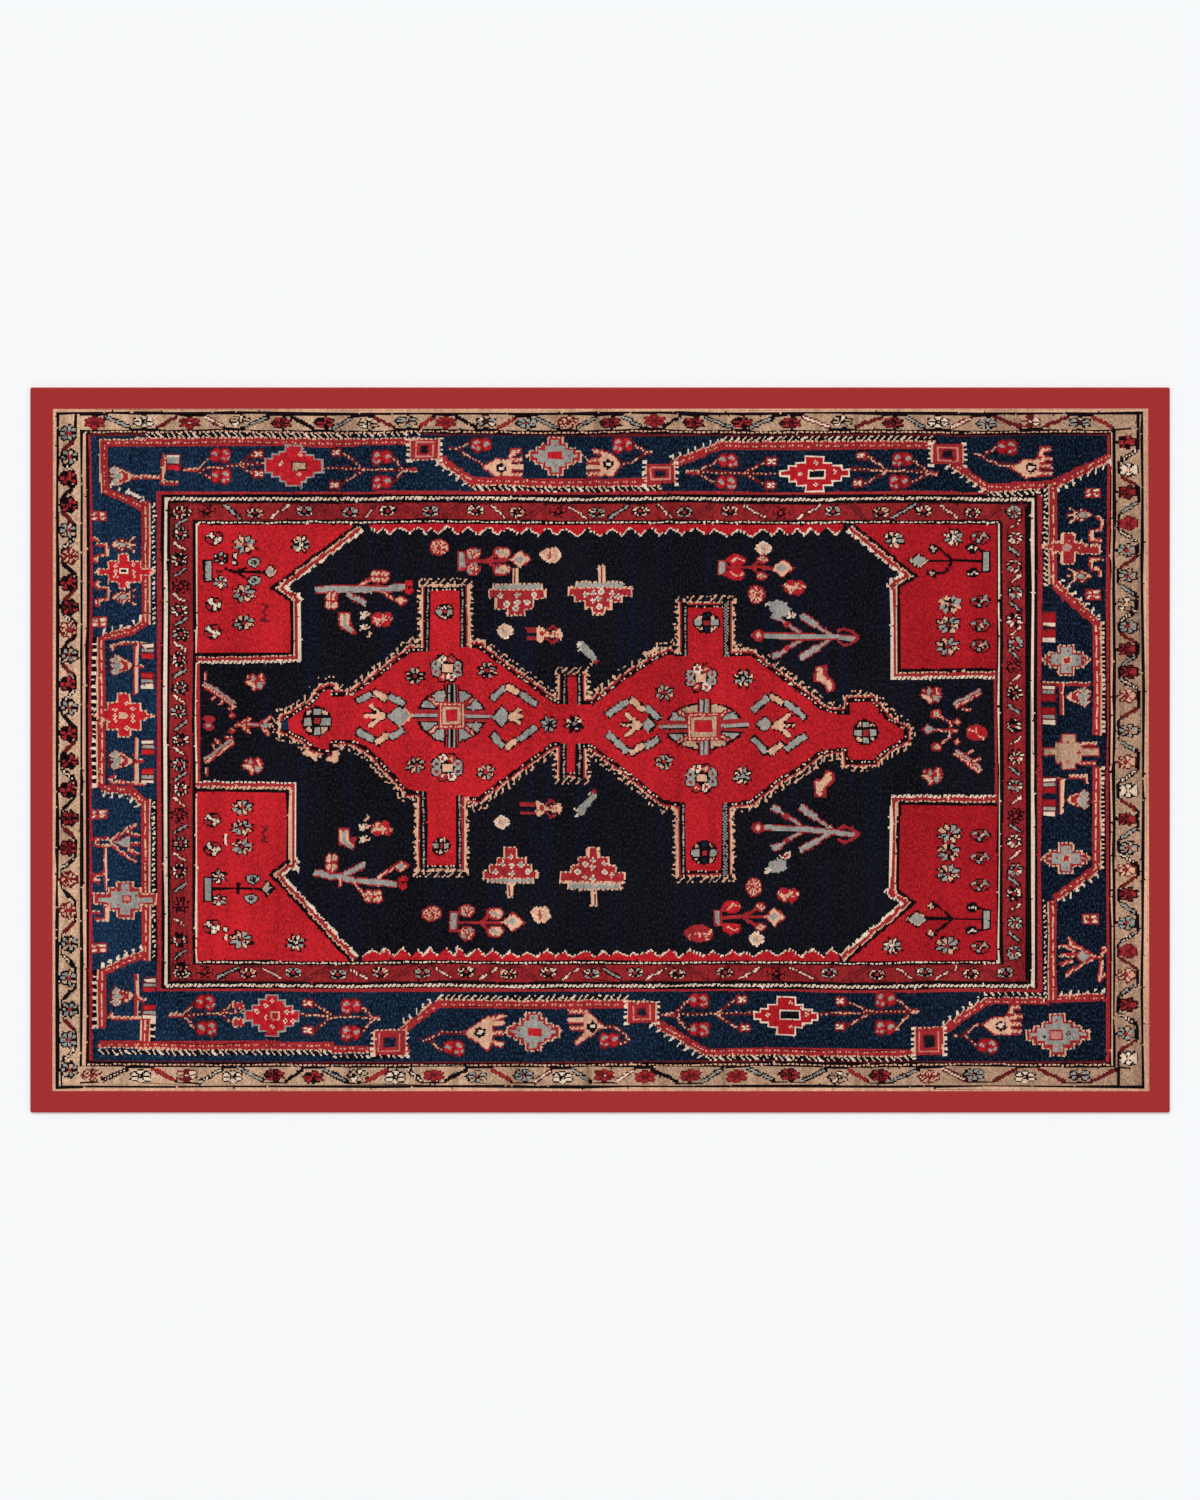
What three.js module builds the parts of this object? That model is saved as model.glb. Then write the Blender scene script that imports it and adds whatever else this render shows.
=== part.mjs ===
// A flat printed rug: one oblong of low cut-pile cloth, lying on its backing.
// Origin at the middle of the underside, +X along the length, +Z up, millimetres.

import * as THREE from 'three';

// Driving dimensions
const rugLength = 2200; // along X
const rugWidth = 1400; // along Y
const rugThickness = 5; // backing and cut pile together
const backingThickness = 1.5; // the firm lower part, cut square at the edge
const cornerRadius = 4; // a square-cut corner, eased by the pile
const pileRounding = 1.5; // how far the pile leans in at the top of the cut edge

// Fineness of the eased corners and of the pile's round edge
const stepsPerCorner = 4;
const stepsInPileEdge = 3;

const rugColour = '#a53034';

// Points of one level of the rug's outline, drawn in by `inset`, counter-clockwise from above
function outlineAt(inset, height) {
  const radius = cornerRadius - inset;
  const centreX = rugLength / 2 - cornerRadius;
  const centreY = rugWidth / 2 - cornerRadius;
  const corners = [
    { x: centreX, y: centreY, startAngle: 0 },
    { x: -centreX, y: centreY, startAngle: Math.PI / 2 },
    { x: -centreX, y: -centreY, startAngle: Math.PI },
    { x: centreX, y: -centreY, startAngle: 1.5 * Math.PI },
  ];
  const points = [];
  for (const corner of corners) {
    for (let step = 0; step <= stepsPerCorner; step += 1) {
      const angle = corner.startAngle + (step / stepsPerCorner) * (Math.PI / 2);
      const x = corner.x + radius * Math.cos(angle);
      const y = corner.y + radius * Math.sin(angle);
      points.push(new THREE.Vector3(x, y, height));
    }
  }
  return points;
}

// Levels from the underside to the top: the square-cut backing, then the rounded pile edge
function edgeLevels() {
  const levels = [outlineAt(0, 0), outlineAt(0, backingThickness)];
  const pileHeight = rugThickness - backingThickness;
  for (let step = 1; step <= stepsInPileEdge; step += 1) {
    const angle = (step / stepsInPileEdge) * (Math.PI / 2);
    const inset = pileRounding * (1 - Math.cos(angle));
    levels.push(outlineAt(inset, backingThickness + pileHeight * Math.sin(angle)));
  }
  return levels;
}

// Upward faces of one level cap: a fan in each eased corner, the broad middle, and the strips at both ends
function capFaces(firstPoint) {
  const pointsPerCorner = stepsPerCorner + 1;
  const cornerStart = [0, 1, 2, 3].map((corner) => firstPoint + corner * pointsPerCorner);
  const cornerEnd = cornerStart.map((start) => start + stepsPerCorner);
  const faces = [];
  for (const start of cornerStart) {
    for (let step = 1; step < stepsPerCorner; step += 1) {
      faces.push([start, start + step, start + step + 1]);
    }
  }
  faces.push([cornerEnd[0], cornerStart[1], cornerEnd[2]]);
  faces.push([cornerEnd[0], cornerEnd[2], cornerStart[3]]);
  faces.push([cornerStart[1], cornerEnd[1], cornerStart[2]]);
  faces.push([cornerStart[1], cornerStart[2], cornerEnd[2]]);
  faces.push([cornerStart[3], cornerEnd[3], cornerStart[0]]);
  faces.push([cornerStart[3], cornerStart[0], cornerEnd[0]]);
  return faces;
}

// One closed body: the underside, the walls between levels, and the top
function clothGeometry() {
  const levels = edgeLevels();
  const ringSize = levels[0].length;
  const positions = [];
  for (const level of levels) {
    for (const point of level) {
      positions.push(point.x, point.y, point.z);
    }
  }
  const faces = [];
  for (const [a, b, c] of capFaces(0)) {
    faces.push(a, c, b);
  }
  for (let level = 0; level + 1 < levels.length; level += 1) {
    for (let index = 0; index < ringSize; index += 1) {
      const next = (index + 1) % ringSize;
      const lower = level * ringSize;
      const upper = lower + ringSize;
      faces.push(lower + index, lower + next, upper + next);
      faces.push(lower + index, upper + next, upper + index);
    }
  }
  const topRing = (levels.length - 1) * ringSize;
  faces.push(...capFaces(topRing).flat());
  const geometry = new THREE.BufferGeometry();
  geometry.setAttribute('position', new THREE.Float32BufferAttribute(positions, 3));
  geometry.setIndex(faces);
  return geometry;
}

const pile = new THREE.MeshStandardMaterial({
  color: rugColour,
  roughness: 0.95,
  metalness: 0,
  flatShading: true,
});
const rug = new THREE.Mesh(clothGeometry(), pile);
rug.name = 'rug';

const printedRug = new THREE.Group();
printedRug.add(rug);

export default printedRug;
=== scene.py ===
import math

import bpy
import numpy as np
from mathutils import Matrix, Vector, noise
from mathutils.geometry import delaunay_2d_cdt


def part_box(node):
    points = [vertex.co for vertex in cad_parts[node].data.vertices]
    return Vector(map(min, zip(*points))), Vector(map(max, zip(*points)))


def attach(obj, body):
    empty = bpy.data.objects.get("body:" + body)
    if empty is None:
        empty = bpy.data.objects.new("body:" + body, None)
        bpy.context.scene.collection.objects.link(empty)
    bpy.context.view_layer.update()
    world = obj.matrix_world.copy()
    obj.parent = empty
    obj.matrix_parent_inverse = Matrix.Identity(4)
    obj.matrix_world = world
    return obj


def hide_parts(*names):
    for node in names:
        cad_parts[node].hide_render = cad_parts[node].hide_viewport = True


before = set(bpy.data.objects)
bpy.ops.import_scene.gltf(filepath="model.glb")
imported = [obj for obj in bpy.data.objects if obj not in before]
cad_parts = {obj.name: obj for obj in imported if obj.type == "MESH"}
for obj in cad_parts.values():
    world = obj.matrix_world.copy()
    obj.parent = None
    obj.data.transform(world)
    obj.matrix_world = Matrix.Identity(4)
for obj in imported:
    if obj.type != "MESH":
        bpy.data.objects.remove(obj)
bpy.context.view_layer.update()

rugLow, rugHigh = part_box("rug")
mm = 0.001

# the dyes
def yarn(letter, colour, fleck, streak, mottle, flecks, streaks, fibre, deepening=0.0, onset=1.0):
    # the letter that charts use, three colours in sRGB, their unevenness, the strength of the painted shade
    # and highlight that follow the pile's tufts, and how much and how late the dye deepens along the rug
    return {
        "letter": letter, "colour": colour, "fleck": fleck, "streak": streak, "mottle": mottle,
        "flecks": flecks, "streaks": streaks, "fibre": fibre, "deepening": deepening, "onset": onset,
    }


dyes = {
    "band": {"letter": "-", "colour": "a43232", "fibre": 0.10},  # plain print
    "navy": yarn("n", "0e0d12", "32323b", "0b1430", 1.30, 0.55, 0.45, 0.60),
    "blue": yarn("b", "162a41", "3e6690", "09080f", 1.80, 0.60, 0.60, 0.60, 0.92, 0.4),
    "scarlet": yarn("s", "b91d25", "d64a50", "86101a", 0.95, 0.38, 0.42, 0.45, 1, 3),
    "wine": yarn("m", "8e2326", "b04446", "541014", 1.10, 0.36, 0.55, 0.50, 0.12),
    "crimson": yarn("r", "9c252a", "c45c5a", "621519", 0.80, 0.34, 0.40, 0.45, 0.15, 2),
    "oxblood": yarn("o", "62191d", "8a3634", "300e0e", 0.80, 0.34, 0.35, 0.45),
    "black": yarn("k", "12090d", "30252a", "0a060a", 1.10, 0.35, 0.30, 0.50),
    "cream": yarn("w", "e2cbb4", "f4e4d2", "ac8a72", 0.55, 0.40, 0.55, 0.45),
    "peach": yarn("p", "d8a688", "f0ceb4", "98664f", 0.60, 0.40, 0.55, 0.45),
    "sand": yarn("t", "dbb493", "e6c8ae", "745040", 1.05, 0.42, 0.66, 0.50, 0.56, 0.3),
    "grey": yarn("g", "96928b", "c0bcb2", "484648", 0.70, 0.40, 0.50, 0.50),
    "pink": yarn("c", "c47c70", "e4b0a0", "8c4844", 0.60, 0.35, 0.45, 0.45),
    "backing": {"letter": "", "colour": "c9bfae", "thread": 1.2 * mm, "fibre": 0.20},  # undyed
}
dyeNumber = {name: number for number, name in enumerate(dyes)}
dyeOfLetter = {dye["letter"]: dyeNumber[name] for name, dye in dyes.items() if dye["letter"]}

# the cartoon: one number for each knot, counted from the middle of the pictured carpet
knot = 2.9 * mm
carpet = {"left": -364, "right": 365, "bottom": -227, "top": 227}
carpetRows = carpet["top"] - carpet["bottom"]
carpetColumns = carpet["right"] - carpet["left"]
cartoon = np.full((carpetRows, carpetColumns), dyeNumber["navy"], dtype=np.int16)
wholeCarpet = (carpet["left"], carpet["bottom"], carpet["right"], carpet["top"])
insideWine = (-281, -156, 278, 166)  # left, bottom, right and top of what the wine border encloses
oneKnotAway = ((1, 0), (-1, 0), (0, 1), (0, -1))  # the four knots that touch a knot
knotX = np.arange(carpetColumns) + carpet["left"] + 0.5
knotY = np.arange(carpetRows) + carpet["bottom"] + 0.5


def knotsWithin(left, bottom, right, top):
    # the rows and columns of the cartoon between these places, and the knots' own places there
    firstColumn = int(np.clip(math.floor(left - carpet["left"]), 0, carpetColumns))
    lastColumn = int(np.clip(math.ceil(right - carpet["left"]), 0, carpetColumns))
    firstRow = int(np.clip(math.floor(bottom - carpet["bottom"]), 0, carpetRows))
    lastRow = int(np.clip(math.ceil(top - carpet["bottom"]), 0, carpetRows))
    area = (slice(firstRow, lastRow), slice(firstColumn, lastColumn))
    x, y = np.meshgrid(knotX[area[1]], knotY[area[0]])
    return area, x, y


def paintBox(left, bottom, right, top, dye):
    area, x, y = knotsWithin(left, bottom, right, top)
    inside = (x > left) & (x < right) & (y > bottom) & (y < top)
    cartoon[area][inside] = dyeNumber[dye]


def paintBlock(x, y, halfWidth, halfHeight, dye):
    paintBox(x - halfWidth, y - halfHeight, x + halfWidth, y + halfHeight, dye)


def strandField(points, reach, closed):
    # for knots near a line: how far off it they lie (left is plus) and how far along it
    ends = points[1:] + points[:1] if closed else points[1:]
    xs = [point[0] for point in points]
    ys = [point[1] for point in points]
    area, x, y = knotsWithin(min(xs) - reach, min(ys) - reach, max(xs) + reach, max(ys) + reach)
    nearest = np.full(x.shape, 1e6)
    across = np.full(x.shape, 1e6)
    along = np.zeros(x.shape)
    travelled = 0.0
    last = len(points) - (1 if closed else 2)
    for number, (start, end) in enumerate(zip(points, ends)):
        length = math.hypot(end[0] - start[0], end[1] - start[1])
        stepX, stepY = (end[0] - start[0]) / length, (end[1] - start[1]) / length
        forward = (x - start[0]) * stepX + (y - start[1]) * stepY
        side = (y - start[1]) * stepX - (x - start[0]) * stepY
        past = np.maximum(np.maximum(-forward, forward - length), 0.0)
        distance = np.maximum(np.abs(side), past) + 0.02 * past
        if not closed:  # a line ends square
            distance = np.where((number == 0) & (forward < -0.5), 1e6, distance)
            distance = np.where((number == last) & (forward > length + 0.5), 1e6, distance)
        closer = distance < nearest
        nearest = np.where(closer, distance, nearest)
        across = np.where(closer, np.where(side < 0, -distance, distance), across)
        along = np.where(closer, travelled + np.clip(forward, 0, length), along)
        travelled += length
    return area, across, along


def layStrands(points, strands, closed=False):
    # strands lie side by side along a line: (from, to, dye) and for a broken one (every, run, lean)
    reach = max(max(abs(strand[0]), abs(strand[1])) for strand in strands) + 1
    area, across, along = strandField(points, reach, closed)
    for nearEdge, farEdge, dye, *beat in strands:
        lying = (across >= nearEdge) & (across < farEdge)
        if beat:
            every, run, lean = beat
            lying &= np.mod(along + lean * across, every) < run
        cartoon[area][lying] = dyeNumber[dye]


def shapeMask(points, x, y):
    # True for knots inside a closed outline
    inside = np.zeros(x.shape, bool)
    for (ax, ay), (bx, by) in zip(points, points[1:] + points[:1]):
        if ay == by:
            continue
        spans = (y >= min(ay, by)) & (y < max(ay, by))
        inside ^= spans & (x < ax + (y - ay) * (bx - ax) / (by - ay))
    return inside


def paintShape(points, dye):
    xs = [point[0] for point in points]
    ys = [point[1] for point in points]
    area, x, y = knotsWithin(min(xs), min(ys), max(xs), max(ys))
    cartoon[area][shapeMask(points, x, y)] = dyeNumber[dye]


def paintOval(x, y, halfWidth, halfHeight, dye):
    area, u, v = knotsWithin(x - halfWidth, y - halfHeight, x + halfWidth, y + halfHeight)
    cartoon[area][((u - x) / halfWidth) ** 2 + ((v - y) / halfHeight) ** 2 < 1] = dyeNumber[dye]


def paintSteps(x, y, boxes, dye, grow):
    # a stepped star: boxes of these half widths and half heights on one centre
    for halfWidth, halfHeight in boxes:
        paintBlock(x, y, halfWidth + grow, halfHeight + grow, dye)


# charts: a letter for each knot, with a dot where the ground shows
charts = {
    "blossom": """
    ...oooo.oooo..
    .oosssoosssso.
    ossssssssggsso
    osggssosggggso
    oggggssossggso
    ossggsoossssso
    osssssosssssgo
    ossssossggsggo
    .osssoosggssso
    ..oooo.oossoo.
    ........oooo..
    """,
    "bud": """
    .oo..oo.
    orroorro
    orwwrwwr
    orrwwrro
    orwwrwwr
    orroorro
    .oo..oo.
    """,
    "eye": """
    .w.
    wkw
    .w.
    """,
    "tulip": """
    ...opo............
    ..opggpo..........
    .opggggppoo.......
    opggggpprpppo.....
    .opggpprr.rpppo...
    .oopggggprrrrppo..
    opggggggpprrrpppoo
    oopgggggpprrrpppoo
    .oopggggprrrrppo..
    .opggpprr.rpppo...
    opggggpprpppo.....
    .opggggppoo.......
    ..opggpo..........
    ...opo............
    """,
    "fork": """
    ..............opp.
    ......oooo...oppo.
    ....oopppoooppo...
    ..oopporropppo....
    .opppoggggoppo.ooo
    opppoggggggoppppp.
    .opppoggggoppo.ooo
    ..oopporropppo....
    ....oopppoooppo...
    ......oooo...oppo.
    ..............opp.
    """,
    "squareFlower": """
    rrrrrrrrrrr
    rppgrrwwwpr
    rgpprrwwppr
    rrrrrrrrrrr
    rpwprrppwpr
    rwwprrpwwpr
    rrrrrrrrrrr
    """,
    "crossedFlower": """
    ..rrrr.rrrr..
    .rpppprppppr.
    rppgpprppgppr
    rppppprpppppr
    .rrrrrrrrrrr.
    rppppprpppppr
    rppgpprppgppr
    .rpppprppppr.
    ..rrrr.rrrr..
    """,
    "dot": """
    .ww.
    wggw
    wggw
    .ww.
    """,
    "diagonalRound": """
    ...kkkkkkk..
    ..kwwkrrrrk.
    .kwwwkkrrrrk
    kwkwwwkkrrkk
    kkkkwwwwkwwk
    krrkkkwwwwwk
    krrrrkkwkwwk
    .krrrkwwwkk.
    ..kkkkwwkk..
    ....kkkk....
    """,
    "greyOval": """
    ...kkkk...
    .kkggggkk.
    kgggkkgggk
    kggkgnkggk
    kggknkgggk
    .kggggggk.
    ..kkggkk..
    ....kk....
    """,
    "ovalDark": """
    ....kkkkkk....
    ..kkrrrrkggk..
    .kggkkrrkggrk.
    kgggkrkppgggkk
    krrkkkpprkkkgk
    krrrrkkppkrrrk
    .krrkggkkrrrk.
    ..kkkggkrrkk..
    ....kkkkkk....
    """,
    "fieldBlossom": """
    ...rrrrr...
    ..rpprggr..
    .rpppprgggr
    rrprrprgrrr
    .rpppprpppr
    rrggrrrpprr
    .rgggrprrr.
    ..rggrppr..
    ...rrrrr...
    """,
    "fieldBud": """
    ..rrrr..
    .rppprr.
    rpprgppr
    rppggppr
    .rrpprr.
    ..rrrr..
    """,
    "creamRound": """
    ....ppppppp...
    ..pppwppwppp..
    .pptpprptpppp.
    pptppprpptppp.
    ppppptrtppppwp
    pwpptrrrtpppwp
    .pwpptrtpptppp
    .ppppprppptpp.
    ..pptppptppp..
    ...ppwppwpp...
    .....pp.pp....
    """,
    "creamStar": """
    ....ww.....
    ...wppww...
    .wwpppppww.
    .pppgpppppp
    wpppgggppww
    .wwpgggppp.
    .pppppgppww
    ..wwppppww.
    ...wwppw...
    .....ww....
    """,
    "crimsonFlower": """
    ...rrrr...rrr..
    ..rrsssrprrssr.
    .prrssssprpsssr
    rppprssspprrpp.
    .rpppppppprssrp
    rrrppppgpppprpr
    .rppprppprsssr.
    .rrrpprrrssssr.
    ...rppprrsssr..
    ....rrr.rrr....
    """,
    "redFour": """
    .....rr...rrr..
    ..rr.rgr.rpprr.
    .rpprggrrrpprr.
    ..rrrgggrrrprr.
    .rr.rggrsrrpppr
    rpppprrrrrrrrr.
    .rppppprrgggggr
    .rrpppprrgggrr.
    ....rppprggggr.
    .....rpprrggr..
    .....rppr.rr...
    ......rr.......
    """,
    "redDaisy": """
    ....rrrrr....
    ..rrpprpprr..
    .rpprpprpppr.
    rrppprprpprrr
    rprrpprpprrpr
    rpppprrrppppr
    rprrpprpprrpr
    rrppprprpprrr
    .rpprpprpppr.
    ..rrpprpprr..
    ....rrrrr....
    """,
    "comb": """
    w.w.w..
    wwwp.pp
    .wppppw
    wwwp...
    w.w....
    """,
}


def stampChart(name, x, y, flip="", dyed=""):
    # lays a chart about a place; flip may hold "h", "v" or "t" (a quarter turn), dyed holds pairs of letters
    letters = np.array([list(row) for row in charts[name].split()])
    if "t" in flip:
        letters = np.rot90(letters)
    if "h" in flip:
        letters = letters[:, ::-1]
    if "v" in flip:
        letters = letters[::-1]
    letters = letters[::-1]
    changed = dict(zip(dyed[::2], dyed[1::2]))
    firstRow = round(y - letters.shape[0] / 2) - carpet["bottom"]
    firstColumn = round(x - letters.shape[1] / 2) - carpet["left"]
    for letter in np.unique(letters):
        if letter == ".":
            continue
        rows, columns = np.nonzero(letters == letter)
        cartoon[rows + firstRow, columns + firstColumn] = dyeOfLetter[changed.get(letter, letter)]


# the nested borders
borderLines = [  # dye, then its width in knots at the left, right, top and bottom
    ("peach", 2, 3, 2, 2),
    ("black", 2, 2, 2, 2),
    ("sand", 14, 17, 10, 12),
    ("black", 2, 2, 1, 1),
    ("peach", 2, 1, 1, 1),
    ("black", 2, 1, 1, 1),
    ("oxblood", 0, 0, 1, 1),
    ("crimson", 2, 2, 0, 0),
    ("blue", 43, 43, 37, 46),
    ("crimson", 3, 3, 2, 2),
    ("black", 2, 2, 2, 1),
    ("cream", 2, 2, 2, 2),
    ("black", 2, 4, 2, 2),
    ("wine", 15, 15, 11, 11),
    ("black", 2, 2, 1, 1),
    ("cream", 2, 1, 1, 1),
    ("black", 1, 2, 1, 1),
    ("navy", 0, 0, 0, 0),
]


def weaveBorders():
    left, right = carpet["left"], carpet["right"]
    bottom, top = carpet["bottom"], carpet["top"]
    for dye, leftWidth, rightWidth, topWidth, bottomWidth in borderLines:
        paintBox(left, bottom, right, top, dye)
        left += leftWidth
        right -= rightWidth
        bottom += bottomWidth
        top -= topWidth


twist = {"every": 3, "lean": 2}  # a dark knot in every three, moving two along from row to row


def twistLightLines(lights, left, bottom, right, top):
    # dark knots at even steps make thin light lines look like twisted cord; upright ones stay whole
    brightness = np.array([int(dye["colour"][:2], 16) + int(dye["colour"][2:4], 16) for dye in dyes.values()])
    area, x, y = knotsWithin(left, bottom, right, top)
    block = cartoon[area]
    light = np.isin(block, [dyeNumber[name] for name in lights])
    below, above, *sides = [np.roll(light, step, (0, 1)) for step in oneKnotAway]
    broad = light & below & above & sides[0] & sides[1]
    nick = light & ~(below & above) & (np.mod(np.floor(x) + twist["lean"] * np.floor(y), twist["every"]) == 0)
    darkest = block.copy()
    for step in oneKnotAway:
        beside = np.roll(block, step, (0, 1))
        darkest = np.where(brightness[beside] < brightness[darkest], beside, darkest)
        nick &= ~np.roll(broad, step, (0, 1))
    block[nick] = darkest[nick]


weaveBorders()
twistLightLines(("cream", "peach"), *wholeCarpet)
print("borders woven")

# the sand guard: a bent vine with a flower in every bend
vineKinds = {
    "grey": [(-1.6, 1.6, "black"), (-0.6, 0.6, "grey")],
    "cream": [(-1.6, 1.6, "oxblood"), (-0.6, 0.6, "cream")],
    "black": [(-1.3, 1.3, "black")],
    "oxblood": [(-1.3, 1.3, "oxblood")],
    "crimson": [(-1.5, 1.5, "oxblood"), (-0.9, 0.9, "crimson")],
    "dotted": [(-1.6, 1.6, "black"), (-0.6, 0.6, "cream", 2.2, 1.2, 0)],
    "flat": [(-0.8, 0.8, "black")],
    "faint": [(-0.6, 0.6, "oxblood")],
    "wineGrey": [(-1.7, 1.7, "black"), (-0.6, 0.6, "grey")],
    "wineRed": [(-1.5, -0.6, "oxblood"), (0.6, 1.5, "oxblood")],
}
guardKinds = {  # petals, heart and outline
    "red": ("rrrrrr", "o", "o"), "dark": ("rororor", "o", "k"), "mixed": ("rrorro", "w", "o"),
    "cream": ("wwwwww", "p", "k"), "pale": ("twttwtt", "p", "k"), "grey": ("gtggtgt", "r", "k"),
    "peach": ("ppppppp", "r", "o"), "arc": ("wottow", "w", "o"), "greyArc": ("gtwgtw", "o", "k"),
    "black": ("rrkrrkr", "r", "k"), "ash": ("ggggggg", "r", "k"), "ashen": ("gtggtg", "o", "k"),
}
starFlower = {"rim": 1.35, "seam": 0.62, "heart": 1.5, "roundness": 1.3}  # in knots, but for the last


def layStarFlower(x, y, halfWidth, halfHeight, petals, heart="r", edge="k", point=0.34):
    # pointed petals round a heart, one letter for each petal, counted from the right and upward
    area, u, v = knotsWithin(x - halfWidth - 1, y - halfHeight - 1, x + halfWidth + 1, y + halfHeight + 1)
    across, along = (u - x) / halfWidth, (v - y) / halfHeight
    radius = np.hypot(across, along)
    turn = np.mod(np.arctan2(along, across) / (2 * math.pi), 1.0) * len(petals)
    petal = np.minimum(turn.astype(int), len(petals) - 1)
    fromSeam = 0.5 - np.abs(turn - petal - 0.5)
    tip = 1 - point + point * np.sin(fromSeam * math.pi) ** starFlower["roundness"]
    seamGap = fromSeam * 2 * math.pi / len(petals) * radius * halfWidth
    block = cartoon[area]
    block[radius < tip] = dyeOfLetter[edge]
    filled = (radius < tip - starFlower["rim"] / halfWidth) & (seamGap > starFlower["seam"])
    for number, letter in enumerate(petals):
        block[filled & (petal == number)] = dyeOfLetter[letter]
    block[radius < starFlower["heart"] / halfWidth] = dyeOfLetter[heart]


def layVine(bends, low, high, first, last, across=False, startLow=False, flat="flat", ease=1.0):
    # bends are the slanting parts (from, to, kind) between eased runs along one side and the other
    onward = ease if last > first else -ease
    side, turned = (low, high) if startLow else (high, low)
    inward = ease if turned > side else -ease
    run = [(first, side)]
    pieces = []
    for start, end, kind in bends:
        pieces.append((run + [(start - onward, side), (start, side + inward)], flat))
        pieces.append(([(start, side + inward), (end, turned - inward)], kind))
        run = [(end, turned - inward), (end + onward, turned)]
        side, turned, inward = turned, side, -inward
    pieces.append((run + [(last, side)], flat))
    for points, kind in pieces:
        layStrands([(v, u) if across else (u, v) for u, v in points], vineKinds[kind])


topBends = [
    (-329, -312, "grey"), (-294, -282, "oxblood"), (-263, -251, "cream"), (-237, -221, "grey"),
    (-205, -191, "black"), (-177, -165, "grey"), (-150, -137, "oxblood"), (-120, -111, "crimson"),
    (-96, -83, "black"), (-68, -56, "crimson"), (-43, -27, "grey"), (-15, -3, "grey"), (15, 27, "grey"),
    (42, 53, "black"), (70, 88, "grey"), (100, 116, "grey"), (135, 153, "cream"), (170, 188, "oxblood"),
    (204, 216, "grey"), (233, 247, "cream"), (264, 280, "oxblood"), (295, 311, "oxblood"),
    (327, 341, "crimson"),
]
topFlowers = [
    (-336, "red"), (-303, "cream"), (-273, "mixed"), (-240, "pale"), (-212, "dark"), (-183, "black"),
    (-154, "pale"), (-129, "grey"), (-103, "red"), (-76, "greyArc"), (-49, "ash"), (-21, "peach"),
    (7, "dark"), (36, "red"), (62, "dark"), (95, "black"), (127, "dark"), (161, "pale"), (195, "dark"),
    (225, "cream"), (257, "ash"), (286, "arc"), (319, "ashen"),
]


def placeGuard(flowers, middle, lift, halfWidth, halfHeight, turned=False, first=0):
    # every second flower lies nearer the other edge
    for number, (place, kind) in enumerate(flowers):
        across = middle - lift if number % 2 == first else middle + lift
        x, y = (across, place) if turned else (place, across)
        layStarFlower(x, y, halfWidth, halfHeight, *guardKinds[kind], point=0.2)


layVine(topBends, 213.7, 222.4, -345, 352)
placeGuard(topFlowers, 218, 0.4, 7.7, 4.4)
print("guard woven")

# stepped turret lines across the blue border
turretStrands = [(-2.5, 2.5, "crimson"), (-0.5, 0.5, "peach", 8, 7.2, 0.5)]
levelStrands = [(-2.3, 2.3, "crimson"), (-0.5, 0.5, "peach", 2, 1, 0)]
# what lies beside a turret line: its pale edge, then ladders, hooks or dots on the left of it
turretEdge = [(2.3, 3.4, "peach")]
turretTicks = [(3.6, 6.5, "black"), (3.6, 6.5, "cream", 4.4, 1.2, 1)]
turretBack = [(3.6, 6.5, "black"), (3.6, 6.5, "cream", 4.4, 1.2, -1)]
sideTicks = [(3.8, 6.6, "black"), (3.8, 6.3, "cream", 3.4, 1.3, 0.6)]
sideBack = [(3.8, 6.6, "black"), (3.8, 6.3, "cream", 3.4, 1.3, -0.6)]
sideDots = [(3.6, 6.2, "black"), (3.6, 5.6, "cream", 3.1, 1.4, 0)]
turretHooks = [(3.3, 6.2, "cream", 5.5, 1.4, -0.3)]
turretDots = [(3.8, 6.6, "black"), (3.8, 6.4, "cream", 4.8, 1.9, 0)]
pole = [(-1.5, 1.5, "crimson"), (-0.1, 1.4, "peach")]
twig = [(-1.2, 1.1, "oxblood"), (-0.5, 0.5, "peach", 3, 2.4, 0)]


def layTurret(points, *kinds):
    # the edge strands named, then the line itself, which is beaded more finely where it lies level
    level = abs(points[-1][0] - points[0][0]) > abs(points[-1][1] - points[0][1])
    edging = [strand for kind in kinds for strand in kind]
    layStrands(points, edging + (levelStrands if level else turretStrands))


def layTurretSquare(x, y, halfWidth, halfHeight, eye):
    # a nest of frames with hooked cream edges on both sides
    low, high = y - halfHeight - 1, y + halfHeight + 1
    for edge in (x - halfWidth - 1, x + halfWidth + 1):
        layStrands([(edge, low), (edge, high)], [(-1.6, 1.6, "cream", 3.6, 1.5, 0)])
    paintBlock(x, y, halfWidth + 1, halfHeight + 0.4, "peach")
    for inset, dye in ((0, "crimson"), (2.6, "pink"), (3.6, "crimson"), (5.6, "oxblood"), (6.6, eye)):
        paintBlock(x, y, halfWidth - inset, halfHeight - inset * 0.75, dye)


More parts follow.
